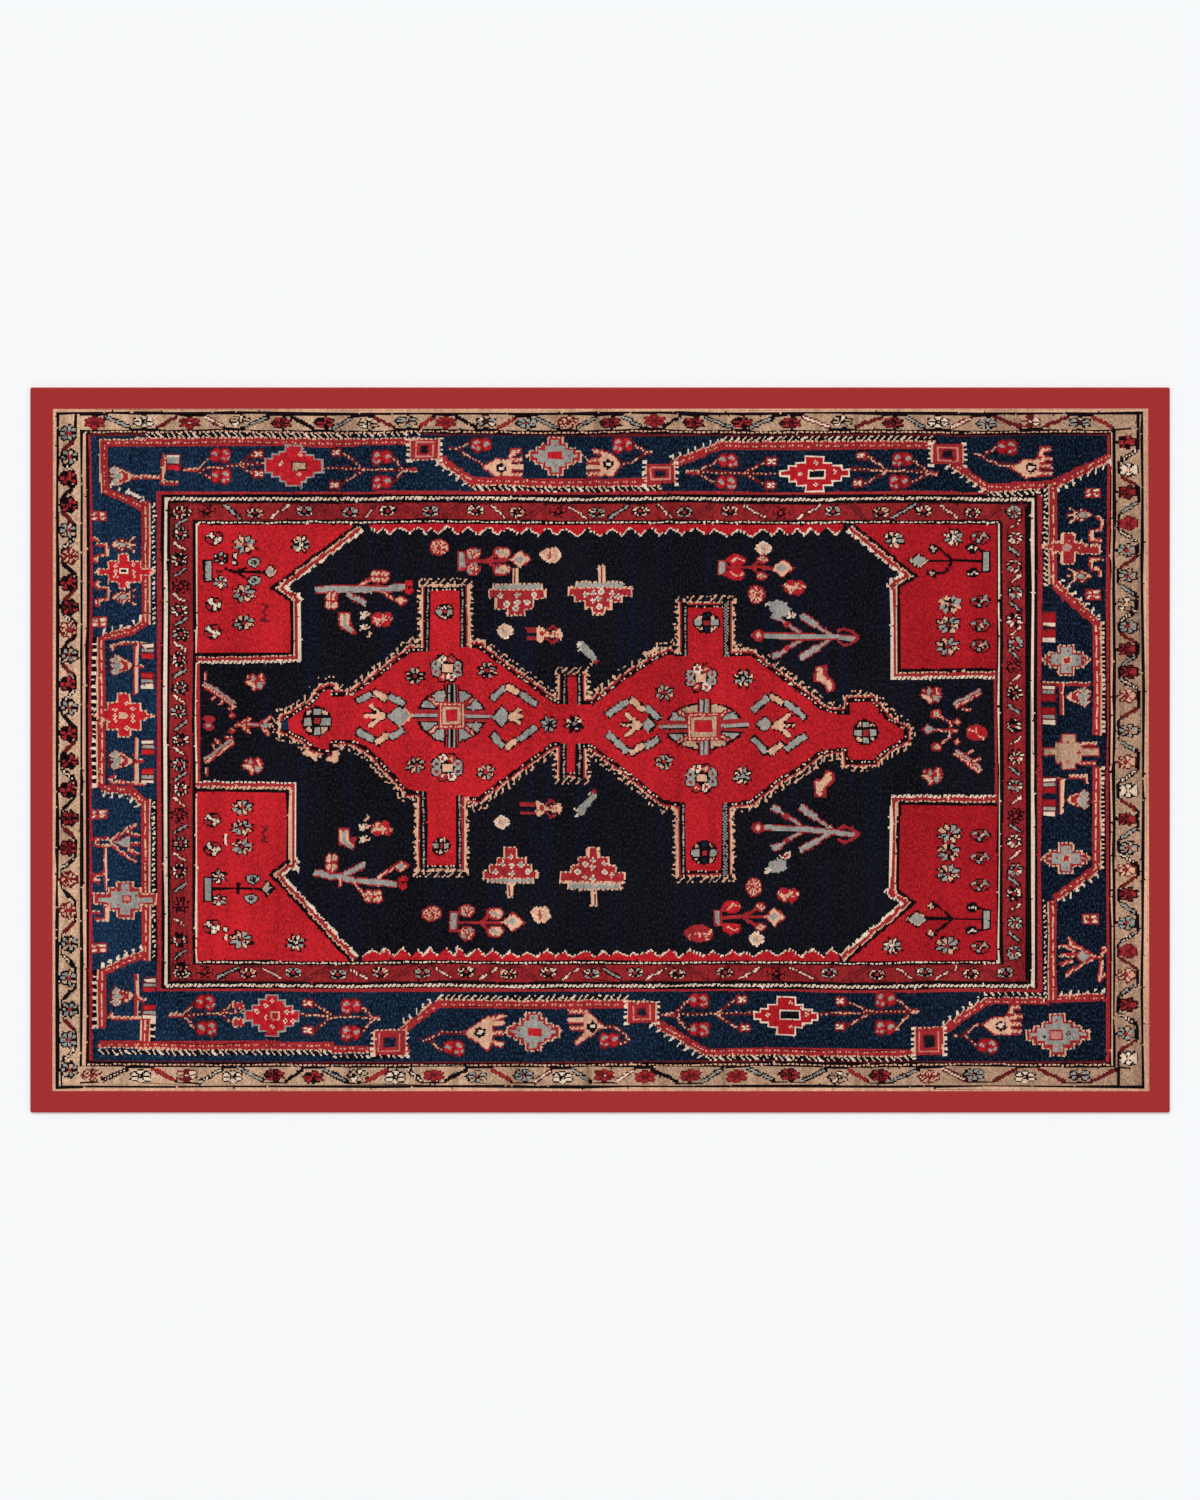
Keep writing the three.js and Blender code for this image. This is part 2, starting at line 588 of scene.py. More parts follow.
hands = {  # the outline of the palm, then each finger from root to tip, in knots from the flowered heart
    "closed": (
        [(-12, 0.5), (-4, 5.6), (2, 5.4), (6, 3.5), (6, -5.2), (-3.5, -5.6)],
        [[(5, 3), (7.5, 12), (13, 12.2)], [(4, 5), (13.6, 6.6)], [(5, 1.4), (13.6, 1.4)],
         [(5, -3.8), (13.8, -3.8)]],
    ),
    "turned": (
        [(-8.3, 0), (-3.5, 5.5), (1.4, 8), (5.5, 4), (5.5, -6), (-3, -7)],
        [[(2, 7), (10.5, 9.5)], [(4, 3.2), (14.2, 3.2)], [(4, -1.4), (14.2, -1.4)], [(4, -5.6), (14.2, -6)]],
    ),
    "open": (
        [(-10.3, -0.7), (5.5, 10), (8.5, 7.4), (7.8, -5.9), (5.5, -12.2)],
        [[(7, 8), (15.9, 11.1)], [(7, 5.6), (15.9, 5.9)], [(7, -0.4), (15.5, -0.4)], [(6, -6), (15.9, -8.9)]],
    ),
    "spread": (
        [(-7, 0.4), (4.1, 10.3), (5.9, 6.3), (5.9, -1), (5.5, -8), (-1.8, -4)],
        [[(4, 10), (15.9, 10.3)], [(5, 4.4), (15.9, 4.4)], [(5, -1.1), (15.5, -1.1)], [(3, -5), (11.5, -11)]],
    ),
}


def layHand(kind, x, y, facing=1):
    palm, fingers = hands[kind]
    outline = [(x + facing * u, y + v) for u, v in palm]
    layStrands(outline, [(-0.9, 0.9, "crimson")], True)
    for finger in fingers:
        layStrands([(x + facing * u, y + v) for u, v in finger], [(-2, 2, "crimson"), (-1.1, 1.1, "peach")])
    paintShape(outline, "peach")
    layStarFlower(x, y, 4, 3.6, "wkrwkr", "w", "k", 0.2)


def layFlag(x, y, stripes):
    # a small flag of crossing stripes, a letter for each knot from the top down, in a thin frame
    halfWidth, halfHeight = 3.6, len(stripes) / 2
    paintBlock(x, y, halfWidth + 1, halfHeight + 1, "oxblood")
    for number, letter in enumerate(stripes):
        stripeTop = y + halfHeight - number
        area = knotsWithin(x - halfWidth, stripeTop - 1, x + halfWidth, stripeTop - 0.5)[0]
        cartoon[area] = dyeOfLetter[letter]


def layStar(x, y, boxes, dyes, heart, eyes=()):
    # a stepped star: the dyes follow each other inward, then a framed heart and small ringed dots
    for grow, dye in zip((0, -1, -2.4), dyes):
        paintSteps(x, y, boxes, dye, grow)
    heartX, heartY, halfWidth, halfHeight, frameDye, heartDye = heart
    paintBlock(heartX, heartY, halfWidth + 1, halfHeight + 1, frameDye)
    paintBlock(heartX, heartY, halfWidth, halfHeight, heartDye)
    for eyeX, eyeY, letters in eyes:
        stampChart("eye", eyeX, eyeY, "", letters)


def growPlant(tip, fork, blossoms, joint, buds, end, budDyes=""):
    # a lying plant: a stem from its tip, two blossoms off the fork and two buds off the joint
    facing = 1 if joint[0] > tip[0] else -1
    layStrands([tip, fork, joint, end], twig)
    for x, y in blossoms:
        layStrands([fork, (x - 7 * facing, y)], twig)
    for x, y in buds:
        layStrands([joint, (x - 4 * facing, y)], twig)
    layStrands([tip, fork], pole)
    for x, y in blossoms:
        stampChart("blossom", x, y, "h" if facing < 0 else "")
    for x, y in buds:
        stampChart("bud", x, y, "h" if facing < 0 else "", budDyes)


# upper side of the border
for points, *kinds in (
    ([(-329, 172), (-329.5, 204), (-119, 205)], turretEdge),
    ([(-301, 204.6), (-119, 205)], turretEdge, turretTicks),
    ([(229, 196), (244, 184), (258, 175.4), (301, 177.5), (339, 196)],),
    ([(29, 178.3), (-85, 178.3), (-107, 193)], turretEdge),
    ([(40, 178.3), (-83, 178.3)], turretEdge, turretTicks),
    ([(-86, 179), (-108, 195)], turretEdge, turretHooks),
    ([(48, 189), (82, 203)], turretEdge, turretHooks),
    ([(82, 202.6), (222, 202.6)], turretEdge, turretBack),
):
    layTurret(points, *kinds)
for square in ((-117, 199.5, 9, 7, "navy"), (40, 183.5, 9.5, 6.5, "blue"), (231, 197, 10, 7, "navy")):
    layTurretSquare(*square)
for points, *kinds in (
    ([(258, 175.4), (233, 192)], turretEdge, turretHooks),
    ([(301, 176.5), (258, 175.4)], turretEdge, turretTicks),
    ([(339, 196), (303, 177.5)], turretEdge, turretHooks),
    ([(301.4, 142), (301.4, 175)], turretEdge, sideTicks),
):
    layTurret(points, *kinds)

stampChart("tulip", -318, 181.7)
layStrands([(-310, 181.4), (-291.5, 181.4)], pole)
layStrands([(-289.7, 197), (-291.6, 178), (-281, 177.6)], pole)
layFlag(-284, 191.4, "wggggosss")
growPlant(
    (-277, 186), (-269, 186.4), [(-253, 195.3), (-253, 181)], (-240.5, 189), [(-228, 196.5), (-228, 183.6)],
    (-224, 190.5),
)
growPlant(
    (-123, 185.1), (-130, 185.7), [(-145, 194.8), (-145, 177)], (-156.5, 187),
    [(-174.6, 198.4), (-175.5, 176.8)], (-184, 188),
)
layStar(
    -204.3, 188.9, [(20, 5), (14.5, 8), (9.5, 10.5), (6, 14)], ["grey", "scarlet"],
    (-200.5, 189.2, 4.5, 1.8, "black", "sand"), [(-199.4, 196.2, "ks"), (-200, 183, "ks"), (-213, 190.8, "")],
)
layStrands([(-101, 199.7), (-95.5, 200), (-86, 204.5)], twig)
layStrands([(-95.5, 200), (-78, 189.5)], twig)
stampChart("blossom", -78.6, 202.6, "h")
layHand("closed", -65.2, 187.1)
starBoxes = [(19.6, 1.3), (17.5, 3.8), (13.8, 6.3), (9, 9.4), (5.3, 13.4)]
layStar(
    -29.6, 196, starBoxes, ["peach", "crimson", "grey"], (-29.6, 196.8, 5, 2.4, "grey", "scarlet"),
    [(-29.6, 204, "wgkr"), (-39, 196.5, "wgkr"), (-20, 196.5, "wgkr"), (-29.6, 189, "wgkr")],
)
layHand("turned", 5.3, 190, -1)
stampChart("blossom", 14.5, 202.6, "h")
layStrands([(34.6, 197.2), (30.4, 197.2), (21.5, 203)], twig)
layStrands([(30.4, 197.2), (20, 190.8), (14, 190.3)], twig)
growPlant(
    (58, 184.5), (64, 184.8), [(84.5, 192.1), (83.8, 177.3)], (95, 184.6), [(114, 192.1), (113, 176.8)],
    (120, 184),
)
growPlant(
    (224, 183.5), (219.5, 184.4), [(200.5, 192.1), (199, 177.2)], (191.3, 185.4),
    [(174, 195.9), (172.5, 177.1)], (166, 186.7),
)
layStar(
    142.7, 184.3, [(23.3, 2.6), (18, 5.5), (12.5, 8), (6.5, 12.2)], ["cream", "scarlet"],
    (144, 184.2, 5.4, 2, "cream", "navy"),
    [(143.9, 191.8, ""), (133, 184.8, "ks"), (144, 177, "ks"), (155.6, 185, "ks")],
)
layStrands([(248.6, 197.5), (254.2, 196), (263, 201.6)], twig)
layStrands([(254.2, 196), (264.5, 190), (276, 189.5)], twig)
stampChart("blossom", 271, 201)
layHand("closed", 286.5, 187.8)
stampChart("squareFlower", 328, 171.4)

# lower side of the border
for points, *kinds in (
    ([(-302.3, -195), (-302.3, -179.5)], turretEdge),
    ([(-302.3, -180), (-302.3, -195)], turretEdge, turretDots),
    ([(-178, -196.6), (-333, -196)], turretEdge, turretTicks),
    ([(-128, -199), (-178, -199)], turretEdge, turretTicks),
    ([(-132, -187), (-107, -169.3), (18, -169.3)], turretEdge),
    ([(-130, -186), (-109, -170)], turretEdge, turretHooks),
    ([(-107, -169.3), (18, -169.3)], turretEdge, turretBack),
    ([(209, -200.8), (71, -200.8)], turretEdge, turretTicks),
    ([(71, -201), (36, -180)], turretEdge, turretHooks),
    ([(229.5, -186.5), (258, -167.3)], turretEdge, turretHooks),
    ([(257, -167), (298, -167)], turretEdge, turretTicks),
    ([(300, -166), (336, -165.6)], turretEdge, turretHooks),
):
    layTurret(points, *kinds)
for square in ((-140.4, -194.6, 10, 8, "blue"), (28, -174.6, 9, 7, "blue"), (219, -193.6, 9.5, 9, "navy")):
    layTurretSquare(*square)
stampChart("tulip", -318, -163.9, "", "sr")
layStrands([(-308.3, -150), (-308.3, -178.6)], pole)
layStrands([(-308, -164.5), (-303, -166.8)], pole)
layStrands([(-325, -175), (-326.4, -178.6), (-303, -178.6)], pole)
layFlag(-300.2, -156, "wwoggosss")
layFlag(-300.4, -174, "sssoggoww")
growPlant(
    (-286, -176.7), (-278, -176.7), [(-263, -168.2), (-261.7, -185.6)], (-254, -175.6),
    [(-241, -170), (-241, -181.6)], (-239.8, -174.8), "wrop",
)
growPlant(
    (-147.5, -178.4), (-151.3, -178.6), [(-166, -170.4), (-166, -188.2)], (-178, -177),
    [(-194, -168.2), (-194.3, -186.9)], (-200, -175.8),
)
layStar(
    -218.4, -177, [(18.3, 4), (14, 7.5), (9.5, 11), (4.8, 14.3)], ["grey", "scarlet"],
    (-216, -177, 2.4, 2.2, "peach", "crimson"),
    [
        (-218, -167.5, "ks"), (-223, -170.7, "ks"), (-228.5, -174.5, "k-"), (-223, -179, "ks"),
        (-218.3, -184.4, ""), (-208.8, -174.5, ""), (-209.2, -181, ""), (-204, -175, "ks"),
        (-204.4, -180.4, "ks"),
    ],
)
layStrands([(-119, -193.2), (-113.3, -192.6), (-105.7, -187.8), (-90, -188)], twig)
layStrands([(-113.3, -192.6), (-105.3, -200)], twig)
stampChart("blossom", -97.4, -199)
layHand("open", -79.9, -187.3)
layStar(
    -44.6, -187, starBoxes, ["peach", "crimson", "grey"], (-43.5, -187.2, 5, 2.6, "grey", "scarlet"),
    [(-44.6, -179, "wgkr"), (-54, -187, "wgkr"), (-34.5, -186, "wgkr"), (-44.6, -195, "wgkr")],
)
layHand("spread", -5.3, -184, -1)
layStrands([(3, -184.2), (10.1, -184.6), (19, -192.3), (13.5, -196)], twig)
stampChart("blossom", 6.2, -193.9, "h")
growPlant(
    (42, -177), (49, -176.1), [(65.6, -167.8), (65.6, -186.3)], (76.8, -176.1),
    [(94.3, -166.9), (95.9, -185.9)], (101, -175.5),
)
growPlant(
    (212, -173.2), (207.8, -173.4), [(190.3, -165.8), (190.3, -185)], (181, -173.6),
    [(159.5, -166.6), (160.1, -183.1)], (144.6, -175.5),
)
layStar(
    123.3, -177, [(21.8, 3), (17.5, 5.5), (12, 8.5), (6.6, 12.8)], ["cream", "scarlet"],
    (126, -176.6, 5.8, 2.6, "cream", "navy"),
    [(126.3, -169, ""), (111.5, -176, "ks"), (136.6, -175.5, "ks"), (126.3, -184.5, "")],
)
layStrands([(235.2, -190.7), (242.2, -189.4), (252, -182)], twig)
layStrands([(242.2, -189.4), (250.5, -197.4)], twig)
stampChart("blossom", 258.3, -197.7)
layHand("closed", 266.9, -183.4)
layStar(
    304.6, -189.3, [(21.5, 3.6), (16.5, 6.5), (11, 9.3), (5.6, 14.4)], ["peach", "crimson", "grey"],
    (303.6, -189.4, 3.8, 2.4, "crimson", "pink"),
    [(303.8, -181, "wpkr"), (296, -190, "wkkp"), (311.5, -188.5, "wkkp"), (304, -197.7, "wpkr")],
)
layVine(
    [
        (-331, -314, "dotted"), (-297, -282, "crimson"), (-266, -252, "dotted"), (-239, -224, "grey"),
        (-209, -198, "black"), (-184, -168, "grey"), (-155, -141, "crimson"), (-128, -118, "dotted"),
        (-102, -89, "black"), (-72, -59, "crimson"), (-43, -33, "cream"), (-18, -6, "grey"),
        (11, 23, "cream"), (34, 51, "black"), (68, 81, "grey"), (98, 116, "grey"), (135, 151, "grey"),
        (166, 179, "crimson"), (194, 212, "grey"), (228, 244, "cream"), (262, 277, "oxblood"),
        (292, 309, "oxblood"), (327, 343, "oxblood"),
    ],
    -221.5, -211.5, -345, 352, startLow=True,
)
placeGuard(
    [
        (-338, "peach"), (-305, "cream"), (-275, "arc"), (-245, "cream"), (-217, "dark"), (-191, "black"),
        (-161, "pale"), (-136, "cream"), (-110, "red"), (-82, "grey"), (-51, "ash"), (-25, "cream"),
        (3, "mixed"), (30, "red"), (60, "red"), (91, "red"), (126, "dark"), (159, "pale"), (187, "dark"),
        (219, "peach"), (249, "ash"), (283, "cream"), (319, "ashen"),
    ],
    -217, 0.6, 7.7, 4.8, first=1,
)

# left side of the border
for points, *kinds in (
    ([(-302.2, 165), (-302.2, 86)],),
    ([(-329, 172), (-312, 165.5), (-303, 160)], turretHooks),
    ([(-302.2, 163), (-302.2, 84)], turretEdge, sideTicks),
    ([(-331, 74), (-312, 78), (-303, 84)], turretEdge, turretHooks),
    ([(-331.4, 12), (-331.4, 74)], turretEdge, turretDots),
    ([(-331.4, -24), (-331.4, 12)], turretEdge, turretDots),
    ([(-303, -35), (-312, -27), (-331.4, -24.6)], turretEdge, turretHooks),
    ([(-302, -34), (-302, -139)], turretEdge, sideTicks),
    ([(-331, -147.6), (-314, -140), (-303, -135)], turretEdge, turretHooks),
    ([(-331.7, -185), (-331.7, -147)], turretEdge, turretDots),
):
    layTurret(points, *kinds)
crossStar = [(20.8, 1), (18.5, 2.6), (11.3, 7.8), (4, 12)]
tallCross = [(20.8, 0.8), (18.4, 2.4), (15.5, 3.8), (11.7, 9.6), (4.6, 15.2)]
crossEyes = [
    (-5.5, 4, "ks"), (6, 4.5, ""), (-5.5, 0, "ks"), (6.5, 0, ""), (-5.5, -3.6, "ks"), (6, -3.6, ""),
    (2, 8.3, "ks"), (2, -8.3, "ks"),
]
for x, y, boxes, heart in (
    (-316.6, 118.7, crossStar, ("cream", "black")), (-316.8, 22.9, tallCross, ("peach", "peach")),
):
    layStar(
        x, y, boxes, ["peach", "scarlet"], (x, y, 2, 1.2, *heart),
        [(x + dx, y + dy, letters) for dx, dy, letters in crossEyes],
    )
layStar(
    -316, -99.2, [(20.6, 4), (11.5, 8), (5.6, 12.6)], ["peach", "crimson", "grey"],
    (-315, -98.6, 2, 1.6, "crimson", "pink"),
    [
        (-315.5, -92, "wgkr"), (-315.5, -106, "wgkr"), (-322, -95, "wgkp"), (-308, -96, "wgko"),
        (-321, -103, "wgko"), (-307.5, -103, "wgko"),
    ],
)
for y, flip in ((136.2, ""), (101, "v")):
    stampChart("fork", -316.6, y, flip)
for y in (155.2, 84.1, -42.1, -131.7):
    stampChart("squareFlower", -333.3, y)
hookLine = [(-1.4, 1.4, "crimson"), (-0.2, 1.2, "peach")]
for points in (
    [(-335, 137), (-329, 136.5), (-328.3, 130), (-334, 129), (-337, 127), (-334, 125)],
    [(-337, 140.5), (-334, 139.5)],
    [(-334, 112), (-336.5, 110), (-334, 108), (-328, 108), (-328, 100), (-336, 99)], [(-336, 98), (-333, 96)],
    [(-329, -64), (-329, -93)], [(-329.5, -82.6), (-336, -83.6), (-336.6, -86.5), (-333.5, -87.4)],
    [(-327, -58.6), (-336, -59.4), (-336, -63), (-327, -63.6)],
    [(-328.3, -104), (-328.3, -112.6), (-335.5, -112.8)], [(-337, -108), (-333, -108)],
    [(-324, 66), (-324.6, 69), (-318, 70.8), (-308, 71), (-303, 70.6)], [(-308.3, 70), (-308.3, 38)],
    [(-308, 56), (-303.6, 55.5)], [(-308.3, 7.5), (-308.3, -22)], [(-309, -7.2), (-303.5, -7.2)],
    [(-323, -17.6), (-326, -19), (-324, -21.4), (-315, -22), (-303, -23)],
    [(-325.8, -60.8), (-315.6, -53.2), (-308.6, -50)], [(-325.8, -62.1), (-316.9, -69.1), (-309.2, -74.2)],
    [(-314.3, -54.5), (-306.7, -57)], [(-313, -62.1), (-307, -62.1)], [(-314.3, -66.5), (-306.7, -69)],
    [(-308.3, -152), (-308.3, -163)],
):
    layStrands(points, hookLine)
paintShape([(-324, -61.5), (-313, -56), (-312, -66)], "crimson")
paintShape([(-322.6, -61.5), (-313.4, -57.6), (-312.8, -64.8)], "grey")
for y in (56.4, -7.1):
    stampChart("tulip", -318.3, y, "", "sr")
for y, stripes in ((65.3, "wwoggosss"), (46.3, "sssoggoww"), (1.8, "wwoggosss"), (-17, "sssoggoww")):
    layFlag(-300.8, y, stripes)

# right side of the border
for points, *kinds in (
    ([(301.4, 110), (301.4, 164)], turretEdge, sideBack),
    ([(302, 109), (330, 85)],),
    ([(303, 110), (330.3, 85)], turretEdge, turretHooks),
    ([(330.3, 85), (330.3, 11)], turretEdge, sideDots),
    ([(330.3, -12), (330.3, -79)], turretEdge, sideDots),
    ([(330.3, -79), (303, -98.5)], turretEdge, turretHooks),
    ([(301.2, -166), (301.2, -101)], turretEdge, sideTicks),
):
    layTurret(points, *kinds)
for inset, dye in ((0, "peach"), (1.2, "crimson")):
    for left, bottom, right, top in (
        (306.3, 123.2, 316.5, 144.8), (299.7, 130.4, 321.8, 138.6), (297, 132.9, 304, 137.8),
        (294.4, 133.9, 300, 137), (316, 129.5, 333.2, 136.7),
    ):
        paintBox(left + inset, bottom + inset, right - inset, top - inset, dye)
paintOval(310.3, 134.8, 3.4, 2.8, "pink")
paintOval(310.3, 134.8, 2, 1.5, "grey")
for x, y in ((302, 135), (318.5, 134.6), (311, 140), (311, 128.6)):
    stampChart("eye", x, y, "", "wrkp")
stampChart("fork", 318.6, 156.4, "h")
stampChart("fork", 318.6, 115, "hv")
for y in (60.5, -72.6):
    layStar(
        310.6, y, [(16.6, 1.3), (14.6, 3.2), (11.6, 5.8), (5.6, 10.8)], ["peach", "crimson", "grey"],
        (310.8, y, 2, 1.4, "peach", "crimson"),
        [(304.5, y, "wgkr"), (318, y, "wgkr"), (311, y + 6, "wgkr"), (311, y - 6, "wgkr")],
    )
layStar(312, -1.4, [(9.5, 7.2), (4.6, 12)], ["crimson", "sand"], (309.6, -1.4, 1.6, 2, "scarlet", "peach"))
paintBox(294.6, -4, 333, 2, "crimson")
paintBox(296, -3, 332, 1, "sand")
paintBox(303, -7.4, 320.6, 5, "sand")
for x, y in ((312, 5.6), (319, -1.4), (312, -7.6)):
    stampChart("eye", x, y, "", "wrkp")
for points in (
    [(321, 4.4), (330, 4.4)], [(321, -8.8), (330, -8.8)],
    [(330, 155.4), (333.6, 153), (333, 147), (329, 146)], [(326.4, 146), (326.4, 139.6), (334, 139)],
    [(334, 127), (326.6, 126.3), (327, 121), (333, 120), (332.6, 115.6)], [(295.6, 44.8), (325, 44.8)],
    [(307.8, 44), (307.8, 25)], [(312.7, -17.3), (324, -17.3), (324, -21.6)], [(303, -19), (308.6, -19)],
    [(307.6, -19), (307.6, -42.4)],
    [(328, -137), (314, -129), (311, -124)], [(328, -138), (316, -145.6), (310.4, -149.6)],
    [(316, -134), (311, -130.6), (306, -130.4)], [(315, -136.8), (306, -136.6)], [(315, -140), (306, -143)],
    [(328, -137.6), (334, -138), (332.4, -153), (336, -150)], [(334, -131), (336.4, -133.6), (333, -135.6)],
):
    layStrands(points, hookLine)
paintShape([(316, -137), (320, -132), (327, -137), (321, -142.5)], "crimson")
paintShape([(317.2, -137), (320.4, -133.4), (325.4, -137), (321, -141)], "grey")
for y in (35.8, -33.2):
    stampChart("tulip", 317.6, y, "h", "sr")
for y, stripes in (
    (87, "ssssssww"), (76.2, "ssssoww"), (38.4, "wwoggossss"), (22.6, "ssssoggoww"), (-23.4, "wwoggosss"),
    (-38.8, "sssoggoww"),
):
    layFlag(299, y, stripes)
stampChart("squareFlower", 328.6, 103.4)
stampChart("squareFlower", 326.7, -112)
print("main border woven")

# guards of the two sides: flowers in the bends of a standing vine
leftFlowers = [
    (211, "ash"), (195, "grey"), (181, "black"), (163, "black"), (146, "grey"), (129, "peach"),
    (111, "black"), (95, "dark"), (80, "peach"), (63, "grey"), (44, "black"), (28, "grey"), (11, "black"),
    (-7, "black"), (-26, "black"), (-45, "dark"), (-65, "dark"), (-86, "peach"), (-107, "peach"),
    (-129, "grey"), (-152, "grey"), (-173, "ash"), (-193, "ash"), (-213, "grey"),
]
rightFlowers = [
    (205, "black"), (187, "cream"), (172, "dark"), (151, "red"), (133, "grey"), (116, "grey"), (97, "pale"),
    (82, "ash"), (67, "dark"), (52, "dark"), (36, "peach"), (13, "grey"), (-8, "peach"), (-27, "cream"),
    (-46, "dark"), (-65, "grey"), (-80, "peach"), (-96, "dark"), (-115, "ash"), (-134, "red"),
    (-150, "peach"), (-170, "dark"), (-189, "grey"), (-205, "cream"),
]


def bendsBetween(places, gap, kinds):
    # a slanting piece half way between each flower and the next
    bends = []
    for number, (here, after) in enumerate(zip(places[:-1], places[1:])):
        middle = (here + after) / 2
        bends.append((middle + gap, middle - gap, kinds[number % len(kinds)]))
    return bends


leftPlaces = [place for place, kind in leftFlowers]
rightPlaces = [place for place, kind in rightFlowers]
layVine(bendsBetween(leftPlaces, 3, ["oxblood", "dotted", "black"]), -358.4, -349, 222, -222, True, ease=1.6)
placeGuard(leftFlowers, -353.4, 0.4, 6.8, 5.8, True)
layVine(bendsBetween(rightPlaces, 3.2, ["dotted", "oxblood", "grey"]), 345, 358.2, 222, -222, True, ease=1.6)
placeGuard(rightFlowers, 351.2, 0.6, 7.4, 5.2, True)

# the wine border: small flowers and short slanting strokes
wineFlowers = {
    "w": "wwpwwwpw", "g": "gggwgggw", "r": "rosrrosr", "p": "ppwpgpwp", "c": "wwkwwwkw", "a": "ggpgggpg",
    "k": "wgwgwgwg",
}


def placeWine(places, kinds, across, turned=False):
    for number, (place, kind) in enumerate(zip(places, kinds)):
        shift = 0.5 if number % 2 else -0.5
        if turned:
            layStarFlower(across + shift, place, 6.2, 5.6, wineFlowers[kind], "r")
        else:
            layStarFlower(place, across + shift, 6.8, 4.5, wineFlowers[kind], "r")


wineTop = (
    -277, -262, -230, -197, -166, -141, -113, -83, -55, -28, -2, 27, 56, 86, 120, 155, 187, 215, 248, 275,
)
layVine(
    [
        (-251, -239, "wineGrey"), (-220, -207, "cream"), (-189, -176, "wineRed"), (-157, -149, "cream"),
        (-133, -122, "wineRed"), (-104, -94, "wineRed"), (-73, -63, "cream"), (-49, -37, "wineRed"),
        (-21, -9, "cream"), (6, 19, "wineGrey"), (38, 48, "cream"), (63, 75, "wineRed"), (95, 110, "cream"),
        (131, 147, "cream"), (167, 176, "wineRed"), (194, 210, "wineGrey"), (226, 238, "cream"),
        (256, 269, "wineRed"),
    ],
    153.8, 163.4, -286, 284, flat="faint", ease=0.3,
)
placeWine(wineTop, "wrpggwgwprgwgprgpwwg", 158.4)
wineBottom = (
    -278, -263, -234, -204, -174, -146, -118, -89, -61, -35, -6, 24, 52, 83, 117, 152, 184, 216, 247, 270,
)
layVine(
    [
        (-255, -240, "wineGrey"), (-225, -212, "cream"), (-196, -181, "wineRed"), (-167, -154, "cream"),
        (-138, -126, "wineRed"), (-110, -99, "cream"), (-80, -68, "cream"), (-54, -43, "wineRed"),
        (-26, -14, "cream"), (2, 14, "wineGrey"), (31, 45, "cream"), (59, 72, "wineRed"), (93, 107, "cream"),
        (126, 144, "cream"), (162, 176, "wineRed"), (197, 209, "cream"), (224, 239, "cream"),
        (253, 269, "wineRed"),
    ],
    -153.4, -144, -286, 284, startLow=True, flat="faint",
)
placeWine(wineBottom, "wrpggpawpwgkwprgpgwg", -148.6)
wineLeft = (
    157.8, 143.8, 126.9, 109.2, 92.9, 77.1, 60.5, 41.8, 25.9, 6.9, -9.7, -26.5, -43.7, -62.4, -80.5, -102.4,
    -126.3, -145.6,
)
layVine(bendsBetween(wineLeft, 2.6, ["wineGrey", "cream"]), -284.4, -274.6, 166, -150, True, flat="faint")
placeWine(wineLeft, "pgcrwpwkkwgwrgwrcp", -279.5, True)
wineRight = (
    158.7, 141.2, 122.2, 104.4, 86.3, 70.7, 56.1, 38, 16.1, -4.6, -23.6, -44, -60.8, -79.6, -95.4, -114.8,
    -134.8,
)
layVine(bendsBetween(wineRight, 2.6, ["cream", "wineGrey"]), 271.5, 280.5, 166, -140, True, flat="faint")
placeWine(wineRight, "gwpgcarwcwgrwgckg", 276, True)
print("wine border woven")

# shapes that the figures of the field share
def layDiamond(x, y, halfWidth, halfHeight, dyesIn):
    # the dyes follow each other inward
    for number, dye in enumerate(dyesIn):
        width = halfWidth - 1.5 * number
        height = halfHeight * width / halfWidth
        paintShape([(x - width, y), (x, y + height), (x + width, y), (x, y - height)], dye)


def layRingedFlower(x, y, halfWidth, halfHeight):
    # eight ringed petals about a square heart; the rings take these dyes in turn
    ringDyes = (("grey", "crimson"), ("crimson", "peach"), ("cream", "crimson"), ("grey", "oxblood"))
    paintOval(x, y, halfWidth * 0.8, halfHeight * 0.8, "black")
    width, height = 0.24 * halfWidth, 0.27 * halfHeight
    spots = []
    for number in range(8):
        angle = (number + 0.5) * math.pi / 4
        spots.append((x + 0.68 * halfWidth * math.cos(angle), y + 0.68 * halfHeight * math.sin(angle)))
    for spotX, spotY in spots:
        paintOval(spotX, spotY, width + 1.2, height + 1.2, "black")
    for number, (spotX, spotY) in enumerate(spots):
        ring, middle = ringDyes[number % 4]
        paintOval(spotX, spotY, width + 0.2, height + 0.2, ring)
        paintOval(spotX, spotY, width * 0.46, height * 0.46, middle)
    paintBlock(x, y, 4.2, 3.4, "black")
    paintBlock(x, y, 3.4, 2.6, "peach")


def layCrossFlower(x, y, halfWidth, halfHeight, ends):
    # a dark oval holding four pale corner petals, a grey one each side and one at each end
    paintOval(x, y, halfWidth, halfHeight, "black")
    area, u, v = knotsWithin(x - halfWidth, y - halfHeight, x + halfWidth, y + halfHeight)
    across, along = np.abs(u - x) / halfWidth, np.abs(v - y) / halfHeight
    within = ((u - x) / (halfWidth - 1.1)) ** 2 + ((v - y) / (halfHeight - 1.1)) ** 2 < 1
    for part, dye in (
        (within & (across > 0.34) & (along > 0.4), "peach"),
        (within & (across > 0.34) & (along < 0.27), "grey"), (within & (across < 0.2) & (along > 0.42), ends),
        ((across < 0.2) & (along < 0.22), "crimson"),
    ):
        cartoon[area][part] = dyeNumber[dye]


